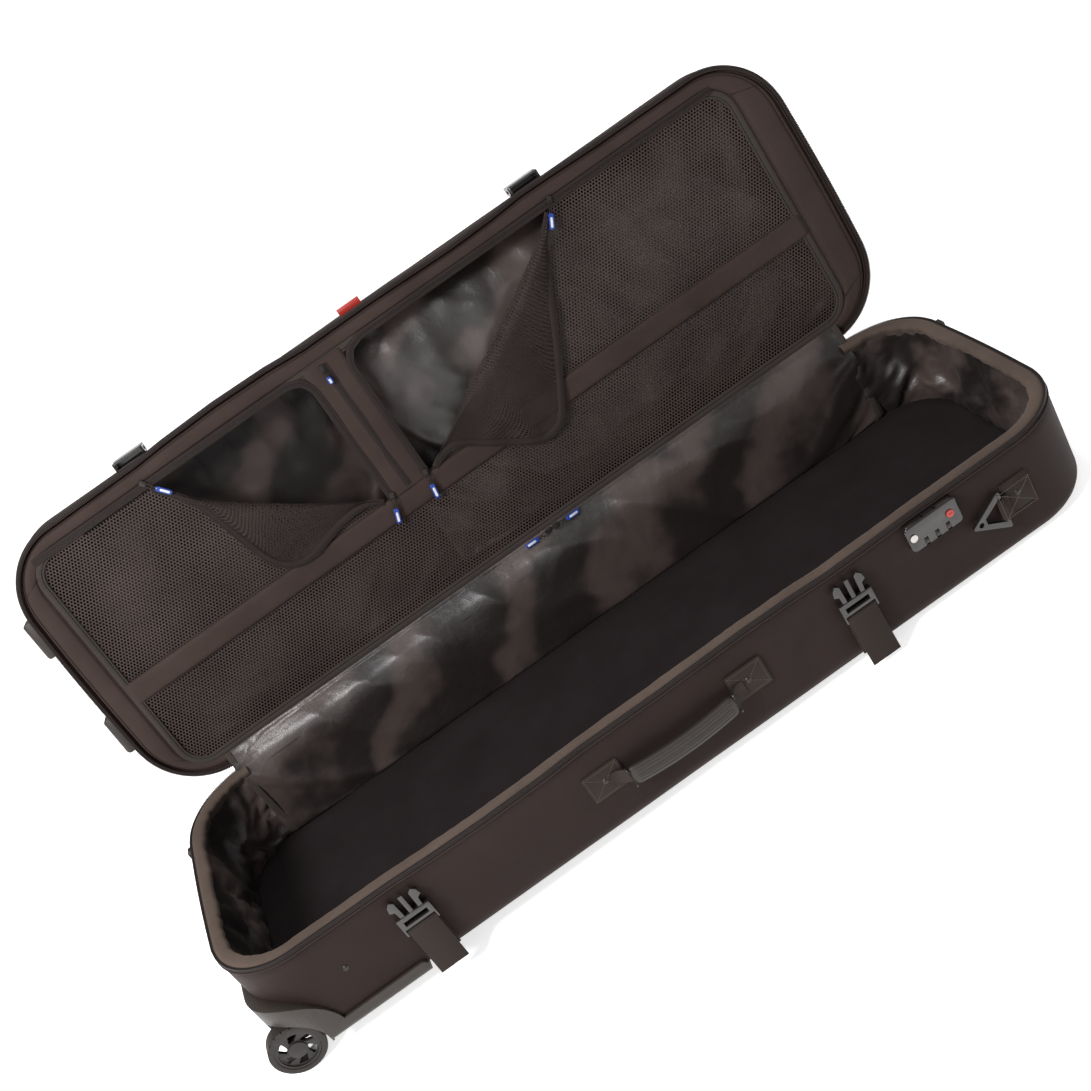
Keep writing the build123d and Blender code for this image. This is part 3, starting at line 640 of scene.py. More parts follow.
def stitches(name: str, line: np.ndarray, up: np.ndarray, pitch: float = 4.2 * MM,
             long: float = 2.9 * MM) -> bpy.types.Object:
    """A row of thread stitches that lies on a surface with normal up."""
    points = resample(line, pitch)
    side, normal = frames(points, up)
    along = np.cross(normal, side)
    axes = np.stack([along, side, normal], 1)
    return boxes(name, points, axes, np.array([long / 2, 0.38 * MM, 0.35 * MM]), "thread", 0.75)


def smooth_path(points: list, count: int) -> np.ndarray:
    """A smooth curve through points.

    Args:
        points: two or three numbers each.
        count: how many points the curve has.

    Returns:
        The curve's points.
    """
    p = np.asarray(points, float)
    ends = np.concatenate([[2 * p[0] - p[1]], p, [2 * p[-1] - p[-2]]])
    at = np.linspace(0, len(p) - 1 - 1e-9, count)
    i = at.astype(int)
    t = (at - i)[:, None]
    a, b, c, d = ends[i], ends[i + 1], ends[i + 2], ends[i + 3]
    return 0.5 * (2 * b + (c - a) * t + (2 * a - 5 * b + 4 * c - d) * t**2 + (3 * b - a - 3 * c + d) * t**3)


# ---- the bag's own measures ---------------------------------------------------------------
@dataclass
class Bag:
    """Outside sizes and places, read from the frame."""

    frame: dict
    corner: float = 0.120
    edge: float = 0.030
    wall: float = 0.006
    lid_depth: float = 0.084
    panel_depth: float = 0.007

    def __post_init__(self) -> None:
        """Reads the sizes from the CAD nodes and the hinge."""
        low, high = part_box("base_shell")
        self.length, self.width = high.x - low.x, high.y - low.y
        self.end, self.front, self.back = low.x, low.y, high.y
        zip_low, zip_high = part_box("base_zip_tape")
        self.zip_low, self.rim = zip_low.z, zip_high.z
        joint = next(j for j in self.frame["joints"] if j["name"] == "lid_hinge")
        self.hinge = np.array(joint["pos_m"])
        self.open_by = math.radians(-joint["range_deg"][0])
        self.lid_rim = 2 * self.hinge[2] - self.rim
        self.lid_top = self.lid_rim + self.lid_depth
        self.panel = self.lid_rim + self.panel_depth

    def opened(self, points: np.ndarray) -> np.ndarray:
        """Turns points drawn with the lid shut to where the open lid has them."""
        points = np.asarray(points, float)
        y, z = points[..., 1] - self.hinge[1], points[..., 2] - self.hinge[2]
        c, s = math.cos(self.open_by), math.sin(self.open_by)
        return np.stack([points[..., 0], self.hinge[1] + y * c + z * s, self.hinge[2] - y * s + z * c], -1)

    def on_lid(self, x: np.ndarray, up: np.ndarray, proud: np.ndarray | float = 0.0) -> np.ndarray:
        """Points on the pocket panel.

        Args:
            x: distance from the wheel end.
            up: distance from the back wall's plane.
            proud: height in front of the panel.

        Returns:
            Points of the open lid.
        """
        x, up, proud = np.broadcast_arrays(np.asarray(x, float), up, proud)
        return self.opened(np.stack([self.end + x, self.back - up, self.panel - proud], -1))

    @property
    def lid_front(self) -> np.ndarray:
        """Direction that the pocket panel faces."""
        return self.opened(np.array([0.0, 0, -1])) - self.opened(np.zeros(3))


class Outline:
    """The bag's plan outline: a rounded rectangle walked round from the middle of the back."""

    def __init__(self, bag: Bag, step: float = 0.010, turn: int = 22) -> None:
        """Lays the points out.

        Args:
            bag: the sizes.
            step: spacing on the straights.
            turn: steps in each corner.
        """
        hx, hy = bag.length / 2 - bag.corner, bag.width / 2 - bag.corner
        self.radius = bag.corner
        cores, normals = [], []
        corners = [(-hx, hy), (-hx, -hy), (hx, -hy), (hx, hy)]
        start = np.array([0.0, hy])
        for k, corner in enumerate(corners):
            corner = np.array(corner)
            angle = math.pi / 2 + k * math.pi / 2
            count = max(2, int(np.linalg.norm(corner - start) / step))
            share = np.arange(count)[:, None] / count
            cores.append(start + (corner - start) * share)
            normals.append(np.tile([math.cos(angle), math.sin(angle)], (count, 1)))
            bend = angle + np.arange(turn) / turn * math.pi / 2
            cores.append(np.tile(corner, (turn, 1)))
            normals.append(np.stack([np.cos(bend), np.sin(bend)], -1))
            start = corner
        count = int(hx / step)
        share = np.arange(count)[:, None] / count
        cores.append(start + (np.array([0.0, hy]) - start) * share)
        normals.append(np.tile([0.0, 1.0], (count, 1)))
        self.core, self.normal = np.concatenate(cores), np.concatenate(normals)
        line = self.core + self.normal * self.radius
        gaps = np.linalg.norm(np.roll(line, -1, 0) - line, axis=1)
        self.along = np.concatenate([[0], np.cumsum(gaps)])
        self.wave = self._wave(line)
        self.free = np.where((self.normal[:, 1] < 0.999) | (np.abs(line[:, 0]) > hx - 0.02))[0]

    def _wave(self, line: np.ndarray) -> np.ndarray:
        """How far the soft rim bows outward at each point."""
        x = [-0.75, -0.63, -0.52, -0.46, -0.40, -0.30, -0.20, -0.13, 0.0, 0.16, 0.24, 0.30, 0.36, 0.44,
             0.60, 0.75]
        bow = [0.0, 0.0, 1.5, 2.0, 6.0, 9.0, 7.0, 1.5, 2.0, -2.0, 0.0, 4.0, 3.0, 0.5, 0.0, 0.0]
        front = np.interp(line[:, 0], x, bow) * MM
        ends = 3 * MM * np.cos(line[:, 1] / 0.16
                               * math.pi / 2).clip(0, 1) * (np.abs(self.normal[:, 0]) > 0.99)
        return front * (self.normal[:, 1] < -0.99) + ends

    def loop(self, inset: np.ndarray | float, z: np.ndarray | float, sway: float = 0.0) -> np.ndarray:
        """One loop of points.

        Args:
            inset: distance inside the walls.
            z: height.
            sway: share of the rim's bow.

        Returns:
            The points.
        """
        out = self.radius - np.broadcast_to(inset, len(self.core)) + self.wave * sway
        flat = self.core + self.normal * out[:, None]
        return np.concatenate([flat, np.broadcast_to(z, len(flat))[:, None]], 1)

    def loft(self, profile: list[tuple]) -> np.ndarray:
        """Loops stacked into a grid, one for each (inset, z, sway)."""
        return np.stack([self.loop(*row) for row in profile])

    @property
    def normals(self) -> np.ndarray:
        """Outward directions in three numbers."""
        return np.concatenate([self.normal, np.zeros((len(self.normal), 1))], 1)


def drop_of(profile: list[tuple]) -> np.ndarray:
    """Cloth distance down a profile of (inset, z, ...)."""
    flat = np.array([[float(np.mean(row[0])), float(np.mean(row[1]))] for row in profile])
    return np.concatenate([[0], np.cumsum(np.linalg.norm(np.diff(flat, axis=0), axis=1))])


def simulate(piece: bpy.types.Object, pinned: np.ndarray, steps: int, slack: float, gravity: float,
             cap: float) -> None:
    """Lets a cloth sag and buckle, then keeps the shape.

    Args:
        piece: the cloth.
        pinned: how firmly each point is held, from 0 to 1.
        steps: frames of simulation.
        slack: how much the cloth grows, which makes it buckle.
        gravity: share of gravity.
        cap: the furthest a point may move.
    """
    scene = bpy.context.scene
    before = np.array([v.co for v in piece.data.vertices])
    group = piece.vertex_groups.new(name="held")
    for level in np.unique(pinned.round(2)):
        group.add([int(k) for k in np.where(pinned.round(2) == level)[0]], float(level), "REPLACE")
    cloth = piece.modifiers.new("cloth", "CLOTH")
    cloth.settings.vertex_group_mass = "held"
    cloth.settings.quality = 4
    cloth.settings.mass = 0.12
    cloth.settings.tension_stiffness = cloth.settings.compression_stiffness = 18
    cloth.settings.bending_stiffness = 0.12
    cloth.settings.shrink_min = -slack
    cloth.settings.effector_weights.gravity = gravity
    cloth.collision_settings.use_collision = False
    cloth.point_cache.frame_start, cloth.point_cache.frame_end = 1, steps
    scene.frame_start, scene.frame_end = 1, steps
    for frame in range(1, steps + 1):
        scene.frame_set(frame)
    graph = bpy.context.evaluated_depsgraph_get()
    moved = np.array([v.co for v in piece.evaluated_get(graph).data.vertices])
    piece.modifiers.remove(cloth)
    piece.vertex_groups.remove(group)
    shift = moved - before
    size = np.linalg.norm(shift, axis=1, keepdims=True)
    shift *= np.minimum(1, cap / np.maximum(size, 1e-9))
    piece.data.vertices.foreach_set("co", (before + shift).astype(np.float32).ravel())
    piece.data.update()
    scene.frame_set(1)


def settle(piece: bpy.types.Object, body: str, slot: str, *nodes: str) -> bpy.types.Object:
    """Puts a piece on its body, in place of CAD nodes, and logs it.

    Args:
        piece: the piece.
        body: the body it moves with.
        slot: the record's material slot; not used.
        nodes: the CAD nodes it stands for.

    Returns:
        The piece.
    """
    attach(piece, body)
    if nodes:
        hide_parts(*nodes)
    LOG.info("%s rides on %s", piece.name, body)
    return piece


# ---- shells -------------------------------------------------------------------------------
@dataclass
class Shells:
    """Outer shells of base and lid with their piping, zips and facing bands."""

    bag: Bag
    outline: Outline
    tooth_pitch: float = 3.0 * MM
    cord_r: float = 2.1 * MM
    crown: float = 5 * MM
    parts: list = field(default_factory=list)

    def _profile(self, low: float, rim: float, sign: float) -> list[tuple]:
        """Closed wall profile from the flat face's middle, round the edge to the rim, and back inside.

        Args:
            low: height of the flat face.
            rim: height of the rim.
            sign: 1 where the rim is above the flat face, -1 where it is below.

        Returns:
            Rows of (inset, z, sway).
        """
        bag = self.bag
        rows = [(0.105, low + sign * 1.0 * MM, 0), (0.085, low + sign * 0.3 * MM, 0), (0.060, low, 0),
                (bag.edge + 0.004, low, 0)]
        for step in range(9):
            angle = step / 8 * math.pi / 2
            inset = bag.edge * (1 - math.sin(angle))
            rows.append((inset, low + sign * bag.edge * (1 - math.cos(angle)), 0))
        height = abs(rim - low)
        seam = height - 8 * MM
        for share in (0.30, 0.40, 0.52, 0.64, 0.76, 0.86):
            rows.append((0.0, low + sign * height * share, share**2))
        rows += [(0.0004, low + sign * (seam - 6 * MM), 0.93), (0.0020, low + sign * (seam - 1.5 * MM), 1),
                 (0.0026, low + sign * seam, 1),
                 (0.0020, low + sign * (seam + 1.5 * MM), 1), (0.0006, low + sign * (seam + 3.0 * MM), 1)]
        rows += [(0.0, rim - sign * 3 * MM, 1), (0.0012, rim - sign * 0.6 * MM, 1), (0.0040, rim, 1),
                 (bag.wall, rim - sign * 0.5 * MM, 1)]
        rows += [(bag.wall, low + sign * height * 0.8, 0.8), (bag.wall, low + sign * height * 0.4, 0.2),
                 (bag.wall + 0.004, low + sign * 0.022, 0),
                 (bag.wall + 0.020, low + sign * (bag.wall + 0.002), 0), (0.060, low + sign * bag.wall, 0),
                 (0.105, low + sign * bag.wall, 0)]
        return rows

    def _shell(self, low: float, rim: float, sign: float, seed: int) -> tuple[np.ndarray, np.ndarray]:
        """A shell's points with the small unevenness of covered foam."""
        profile = self._profile(low, rim, sign)
        grid = self.outline.loft(profile)
        uneven = Seeded(seed)
        normal = self.outline.normals
        wall = np.array([1.0 if 8 < k < 22 else 0.3 for k in range(len(profile))])
        run = self.outline.along[:-1][None]
        height = uneven.at(np.broadcast_to(run, grid.shape[:2]), grid[..., 2],
                           0.34) * 0.9 * MM * wall[:, None]
        small = Seeded(seed + 7).at(np.broadcast_to(run, grid.shape[:2]), grid[..., 2],
                                    0.09) * 0.22 * MM * wall[:, None]
        return grid + normal[None] * np.minimum(height + small, 1.2 * MM)[..., None], drop_of(profile)

    def shell(self, name: str, low: float, rim: float, sign: float, lid: bool, seed: int) -> bpy.types.Object:
        """Base or lid shell as one closed skin."""
        grid, drop = self._shell(low, rim, sign, seed)
        if lid:
            grid = self.bag.opened(grid)
        return grid_piece(name, grid, "shell", self.outline.along, drop, wrap=True, caps=True,
                          flip=sign < 0, sharp=60)

    def ring_cord(self, name: str, inset: float, z: float, lid: bool) -> bpy.types.Object:
        """Piping sewn round a rim, open behind the hinge."""
        line = self.outline.loop(inset, z, 1.0)[self.outline.free]
        line = self.bag.opened(line) if lid else line
        return tube(name, line, self.cord_r, "binding")

    def zip_half(self, name: str, rim: float, sign: float, lid: bool) -> list[bpy.types.Object]:
        """Zip tape on the rim's edge and its row of teeth."""
        pick = self.outline.free
        rows = [(0.0062, rim - sign * 2.4 * MM, 1), (0.0050, rim - sign * 0.9 * MM, 1),
                (0.0032, rim - sign * 0.5 * MM, 1),
                (0.0014, rim - sign * 0.6 * MM, 1), (-0.0003, rim - sign * 2.0 * MM, 1),
                (-0.0006, rim - sign * 4.5 * MM, 1),
                (-0.0012, rim - sign * 5.3 * MM, 1), (-0.0006, rim - sign * 6.1 * MM, 1)]
        grid = self.outline.loft(rows)[:, pick]
        grid = self.bag.opened(grid) if lid else grid
        tape = grid_piece(name + "_tape", grid, "binding", self.outline.along[pick], drop_of(rows),
                          flip=sign > 0)
        line = self.outline.loop(0.0008, rim - sign * 0.3 * MM, 1.0)[pick]
        line = resample(line, self.tooth_pitch)
        side, normal = frames(line, np.array([0.0, 0, 1]))
        along = np.cross(normal, side)
        axes = np.stack([along, side, normal * sign], 1)
        if lid:
            origin = self.bag.opened(np.zeros(3))
            line, axes = self.bag.opened(line), self.bag.opened(axes) - origin
        teeth = boxes(name + "_teeth", line, axes, np.array([0.95 * MM, 2.0 * MM, 1.1 * MM]), "coil", 0.7)
        return [tape, teeth]

    def facing(self) -> bpy.types.Object:
        """Facing band that covers the rim's top and hangs in small pleats inside."""
        bag, line = self.bag, self.outline
        pick = line.free
        run = line.along[:-1]
        pleat = Seeded(31, 7).folds(run, run * 0, 0.030)
        broad = Seeded(32, 6).at(run, run * 0, 0.12)
        shape = [(3.4, -1.6), (4.8, 0.4), (8.0, 1.9), (12.0, 2.7), (16.0, 2.8), (20.0, 2.2), (23.5, 0.6),
                 (25.6, -2.0), (26.2, -5.0),
                 (24.5, -9.0), (21.0, -14.0), (16.5, -20.0), (12.5, -28.0)]
        rows = []
        for inset, z in shape:
            loose = min(1.0, max(0.0, (inset - 8) / 9)) if z > -7 else 1.0
            sag = (inset + loose * (3.2 * pleat + 1.6 * broad - 1.8)) * MM
            rows.append((sag, bag.rim + (z - loose * (1.6 * pleat + 0.8 * broad)) * MM, 0.9))
        grid = line.loft(rows)[:, pick]
        return grid_piece("rim_facing_band", grid, "facing", line.along[pick], drop_of(rows), sharp=180)

    def build(self) -> None:
        """Makes and dresses every piece of the shells."""
        bag = self.bag
        base = self.shell("base_cover", 0.0, bag.rim - 1.0 * MM, 1.0, False, 11)
        settle(base, "base", "outer_fabric", "base_shell")
        lid = self.shell("lid_cover", bag.lid_top, bag.lid_rim + 1.0 * MM, -1.0, True, 12)
        settle(lid, "lid", "outer_fabric", "lid_shell")
        settle(self.ring_cord("base_piping_cord", 0.0, bag.rim - 9.0 * MM, False), "base", "outer_fabric",
               "base_piping")
        settle(self.ring_cord("lid_piping_cord", 0.0, bag.lid_rim + 9.0 * MM, True), "lid", "outer_fabric",
               "lid_piping")
        for name, rim, sign, is_lid, node in (("base_zip", bag.rim, 1.0, False, "base_zip_tape"),
                                              ("lid_zip", bag.lid_rim, -1.0, True, "lid_zip_tape")):
            tape, teeth = self.zip_half(name, rim, sign, is_lid)
            body = "lid" if is_lid else "base"
            settle(tape, body, "zip", node)
            settle(teeth, body, "zip")
        settle(self.facing(), "base", "facing_fabric", "rim_facing")


# ---- inside of the base -------------------------------------------------------------------
@dataclass
class Compartment:
    """Satin wall lining, hinge lining and floor panel."""

    bag: Bag
    outline: Outline
    floor_top: float = 0.0186

    def lining(self) -> bpy.types.Object:
        """Loose satin round the walls, buckled by simulation."""
        bag, line = self.bag, self.outline
        rows = []
        top = bag.rim - 0.011
        big, small = Seeded(41, 9), Seeded(42, 9)
        bare = np.ones(len(line.core))
        hidden = np.setdiff1d(np.arange(len(line.core)), line.free)
        bare[hidden] = 0.0
        count = 26
        for k in range(count):
            share = k / (count - 1)
            z = top + (self.floor_top - 0.003 - top) * share
            belly = math.sin(share * math.pi) ** 0.6
            at = line.loop(0.015, z)
            fold = (1 - np.abs(big.round_about(at, 0.105, 0.45))).clip(0, 1) ** 2.2
            crease = (1 - np.abs(small.round_about(at, 0.052, 0.7))).clip(0, 1) ** 2.0
            inset = 0.0145 + (0.0080 * share + belly * (0.0105 * fold + 0.0030 * crease)) * bare
            rows.append((inset, z, 0.7 * (1 - share)))
        grid = line.loft(rows)
        piece = grid_piece("wall_lining_satin", grid, "lining", line.along, drop_of(rows), wrap=True,
                           sharp=180)
        held = np.zeros(grid.shape[:2])
        held[0] = held[-1] = 1.0
        held[1] = held[-2] = 0.6
        held[:, hidden] = 1.0
        simulate(piece, held.ravel(), 14, 0.07, 0.5, 9 * MM)
        return piece

    def floor(self) -> list[bpy.types.Object]:
        """Padded floor panel with a piped edge."""
        line = self.outline
        top = self.floor_top
        cushion = Seeded(51, 9)
        rows = [(0.019, top - 0.007, 0), (0.0185, top - 0.003, 0), (0.0205, top - 0.0004, 0)]
        for inset in (0.026, 0.034, 0.045, 0.06, 0.08, 0.10, 0.118):
            rows.append((inset, top + 0.0004 + 0.0016 * min(1.0, (inset - 0.02) / 0.05), 0))
        grid = line.loft(rows)
        inner = grid[-1]
        spine = np.concatenate([inner[:, :1] * 0.93, inner[:, 1:2] * 0, inner[:, 2:]], 1)
        spans = [inner * (1 - t) + spine * t for t in (0.12, 0.25, 0.4, 0.55, 0.7, 0.85, 1.0)]
        grid = np.concatenate([grid, np.stack(spans)])
        soft = cushion.at(grid[..., 0], grid[..., 1], 0.42) * 1.6 * MM
        weight = np.clip((np.arange(len(grid)) - 2) / 6, 0, 1)[:, None]
        grid[..., 2] += soft * weight
        drop = np.concatenate([drop_of(rows), np.linspace(0.14, 0.28, 7)])
        panel = grid_piece("floor_pad", grid, "floor", line.along, drop, wrap=True, sharp=180)
        edge = line.loop(0.0205, top + 0.0012, 0)
        piping = tube("floor_piping", np.concatenate([edge, edge[:1]]), 1.9 * MM, "binding")
        return [panel, piping]

    def _hinge_path(self) -> list[tuple[float, float]]:
        """The hinge lining's path from the floor up the back wall to the lid, as (y, z)."""
        bag = self.bag
        lid_end = bag.on_lid(0.0, 0.0235, 0.0015)[1:]
        return [(bag.back - 0.0245, self.floor_top + 0.001), (bag.back - 0.0290, self.floor_top + 0.012),
                (bag.back - 0.0262, 0.070), (bag.back - 0.0235, 0.115), (bag.back - 0.0205, 0.150),
                (bag.back - 0.0125, 0.176), (bag.back + 0.0020, 0.192), tuple(lid_end)]

    def hinge_lining(self) -> bpy.types.Object:
        """Satin that runs from the floor up the back wall and over the hinge to the pocket panel."""
        bag = self.bag
        half = bag.length / 2 - bag.corner + 0.004
        x = np.linspace(-half, half, 300)
        curve = smooth_path(self._hinge_path(), 46)
        broad, fine = Seeded(61, 9), Seeded(62, 9)
        grid = np.zeros((len(curve), len(x), 3))
        run = np.concatenate([[0], np.cumsum(np.linalg.norm(np.diff(curve, axis=0), axis=1))])
        for k, (y, z) in enumerate(curve):
            belly = math.sin(k / (len(curve) - 1) * math.pi) ** 0.8
            height = np.full_like(x, run[k])
            soft = broad.folds(x + height * 0.8, (x - height) * 0.22, 0.16)
            crease = fine.folds(x - height * 0.5, (x + height) * 0.3, 0.070)
            push = belly * (0.0080 * soft + 0.0012 * crease)
            grid[k] = np.stack([x, y - push * 0.9, z + push * 0.3], -1)
        piece = grid_piece("hinge_lining_satin", grid, "lining", x, run, sharp=180)
        held = np.zeros(grid.shape[:2])
        held[:1] = held[-2:] = 1.0
        held[:, :1] = held[:, -1:] = 1.0
        simulate(piece, held.ravel(), 12, 0.008, 0.4, 3 * MM)
        return piece

    def gussets(self) -> list[bpy.types.Object]:
        """Narrow binding strips where the hinge lining ends."""
        bag = self.bag
        made = []
        for side in (-1, 1):
            x = side * (bag.length / 2 - bag.corner + 0.002)
            flat = smooth_path(self._hinge_path(), 40)
            lean = np.linspace(-0.010, 0.004, len(flat)) * side
            path = np.stack([x + lean, flat[:, 0] - 0.0022, flat[:, 1] + 0.0006], -1)
            section = np.array([[-5.5, -0.4], [-5, 0.6], [-1, 1.0], [1, 1.0], [5, 0.6], [5.5, -0.4],
                                [5, -0.9], [-5, -0.9]]) * MM
            side_axis = np.tile([1.0, 0, 0], (len(path), 1))
            normal = np.cross(side_axis, np.gradient(path, axis=0))
            normal /= np.linalg.norm(normal, axis=1, keepdims=True)
            strip = sweep(path, normal, side_axis, section).transpose(1, 0, 2)
            name = f"hinge_binding_{'left' if side < 0 else 'right'}"
            run = np.linspace(0, 0.2, len(path))
            made.append(grid_piece(name, strip, "seam", np.linspace(0, 0.024, 9), run, wrap=True, caps=True))
        return made

    def build(self) -> None:
        """Makes and dresses the inside of the base."""
        lining = settle(self.lining(), "base", "lining", "base_lining")
        panel, piping = self.floor()
        settle(panel, "base", "floor_fabric", "floor_panel", "bottom_board")
        settle(piping, "base", "floor_fabric")
        hinge = self.hinge_lining()
        for piece in [hinge, *self.gussets()]:
            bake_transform(piece)
            LOG.info("%s bends between base and lid", piece.name)


# ---- pocket panel -------------------------------------------------------------------------
@dataclass
class PocketPanel:
    """Border frame, bands, net panels with their folded corners, zips and the satin behind."""

    bag: Bag
    outline: Outline
    left: float = 0.055
    right: float = 1.425
    low: float = 0.030
    high: float = 0.473
    band: tuple[float, float] = (0.180, 0.222)
    strip: tuple[float, float] = (0.594, 0.672)
    corner: float = 0.045
    thick: float = 0.006

    def _window(self, grow: float) -> np.ndarray:
        """The frame's opening, walked in step with the plan outline, grown outward by grow."""
        line = self.outline
        cx, cy = (self.left + self.right) / 2 + self.bag.end, self.bag.back - (self.low + self.high) / 2
        hx, hy = (self.right - self.left) / 2 - self.corner, (self.high - self.low) / 2 - self.corner
        scale = np.array([hx / np.abs(line.core[:, 0]).max(), hy / np.abs(line.core[:, 1]).max()])
        flat = line.core * scale + line.normal * (self.corner + grow)
        return flat + [cx, cy]

    def border(self) -> bpy.types.Object:
        """Padded border frame with a groove round the nets, and a gusset down to the zip."""
        bag, line = self.bag, self.outline
        outer = line.loop(0.0075, 0, 1.0)[:, :2]
        inner = self._window(0.0)
        soft = Seeded(71, 8)
        run = line.along[:-1]
        shape = [(0.0, -0.5), (0.0, -5.5), (0.03, -4.5), (0.07, -0.5), (0.11, 1.2), (0.13, 0.9),
                 (0.145, -0.6), (0.16, 1.0),
                 (0.24, 2.2), (0.38, 2.6), (0.54, 2.4), (0.68, 1.6), (0.76, 0.4), (0.79, -2.4),
                 (0.83, -2.6), (1.0, -3.0)]
        grid, drop = [], [0.0]
        for share, proud in shape:
            flat = outer * (1 - share) + inner * share
            puff = soft.at(run, run * 0 + share * 0.2,
                           0.11) * 0.9 * MM * math.sin(min(1, share * 1.2) * math.pi)
            z = bag.panel - proud * MM - puff
            if proud == -0.5 and share == 0.0:
                z = np.full(len(run), bag.lid_rim + 0.0045)
            grid.append(np.concatenate([flat, np.broadcast_to(z, len(run))[:, None]], 1))
            drop.append(drop[-1] + 0.004)
        points = bag.opened(np.stack(grid))
        return grid_piece("panel_border", points, "panel", line.along, np.array(drop[1:]), wrap=True,
                          flip=True, sharp=80)

    def binding(self) -> bpy.types.Object:
        """Flat tape that binds the nets' edge, with a rolled rim."""
        rows = []
        for grow, proud in ((7.5, -3.0), (7.2, -0.6), (5.5, 0.8), (2.5, 1.0), (-0.5, 0.7), (-2.4, 0.2),
                            (-3.0, -1.4), (-3.6, 0.3),
                            (-5.0, 1.0), (-6.4, 0.3), (-7.0, -2.0)):
            flat = self._window(grow * MM)
            rows.append(np.concatenate([flat, np.full((len(flat), 1), self.bag.panel - proud * MM)], 1))
        drop = np.linspace(0, 0.016, len(rows))
        points = self.bag.opened(np.stack(rows))
        return grid_piece("panel_binding", points, "seam", self.outline.along, drop, wrap=True, flip=True,
                          sharp=80)

    def mitres(self) -> list[bpy.types.Object]:
        """Seams across the border where its four lengths meet."""
        line = self.outline
        outer, inner = line.loop(0.013, 0, 1.0)[:, :2], self._window(0.006)
        turned = np.abs(line.normal[:, 0])
        made = []
        for k, (sx, sy) in enumerate(((-1, -1), (-1, 1), (1, -1), (1, 1))):
            near = (np.sign(line.normal[:, 0]) == sx) & (np.sign(line.normal[:, 1]) == sy)
            pick = np.where(near)[0][np.argmin(np.abs(turned[near] - 0.90))]
            share = np.linspace(0, 1, 14)[:, None]
            flat = outer[pick] * (1 - share) + inner[pick] * share
            rise = self.bag.panel - (2.35 - 1.2 * (2 * share - 1) ** 4) * MM
            made.append(tube(f"border_mitre_{k + 1}", self.bag.opened(np.concatenate([flat, rise], 1)),
                             0.75 * MM, "binding", count=6))
        return made

    def flat_band(self, name: str, x: tuple[float, float], up: tuple[float, float], crown: float,
                  lengthways: bool) -> bpy.types.Object:
        """A sewn band with turned edges that stands a little proud of the panel."""
        nx, ny = (180, 12) if lengthways else (12, 60)
        u, v = np.linspace(0, 1, nx), np.linspace(0, 1, ny)
        soft = Seeded(len(name), 9)
        px, pv = np.meshgrid(x[0] + (x[1] - x[0]) * u, up[0] + (up[1] - up[0]) * v)
        cross = v[:, None] if lengthways else u[None]
        rise = crown * (1 - (2 * cross - 1) ** 8) + soft.at(px, pv, 0.075) * 0.7 * MM
        grid = self.bag.on_lid(px, pv, rise + np.zeros_like(px))
        front = grid_piece(name, grid, "panel", px[0], pv[:, 0], sharp=60)
        front.modifiers.new("thickness", "SOLIDIFY").thickness = 2 * MM
        return front

    def net(self, name: str, mask: list[tuple[float, float]], seed: int) -> bpy.types.Object:
        """A slack net panel over an outline.

        Args:
            name: the piece's name.
            mask: the outline's corners, from the wheel end and up from the back wall.
            seed: for its slackness.

        Returns:
            The net.
        """
        pts = np.array(mask)
        x = np.arange(pts[:, 0].min(), pts[:, 0].max() + 6 * MM, 6 * MM)
        v = np.arange(pts[:, 1].min(), pts[:, 1].max() + 6 * MM, 6 * MM)
        px, pv = np.meshgrid(x, v)
        px, pv = px.clip(pts[:, 0].min(), pts[:, 0].max()), pv.clip(pts[:, 1].min(), pts[:, 1].max())
        soft = Seeded(seed, 9)
        rise = -2.5 * MM + soft.at(px, pv, 0.16) * 1.2 * MM
        inside = self._inside(px, pv, pts)
        quads, corners = grid_faces(*px.shape, False)
        keep = inside.ravel()[quads].all(1)
        flat = np.stack([px, pv], -1)
        uv = flat[corners[..., 0], corners[..., 1]]
        used = np.unique(quads[keep])
        renumber = np.full(px.size, -1)
        renumber[used] = np.arange(len(used))
        grid = self.bag.on_lid(px, pv, rise).reshape(-1, 3)[used]
        return new_piece(name, grid, list(renumber[quads[keep]]), "net", uv[keep].reshape(-1, 2), 180)

    @staticmethod
    def _inside(px: np.ndarray, pv: np.ndarray, pts: np.ndarray) -> np.ndarray:
        """Which points lie in an outline, its edge included."""
        inside = np.zeros(px.shape, bool)
        for (ax, ay), (bx, by) in zip(pts, np.roll(pts, -1, 0)):
            if abs(ay - by) < 1e-9:
                continue
            cross = (ay > pv) != (by > pv)
            inside ^= cross & (px < (bx - ax) * (pv - ay) / (by - ay) + ax)
        return inside

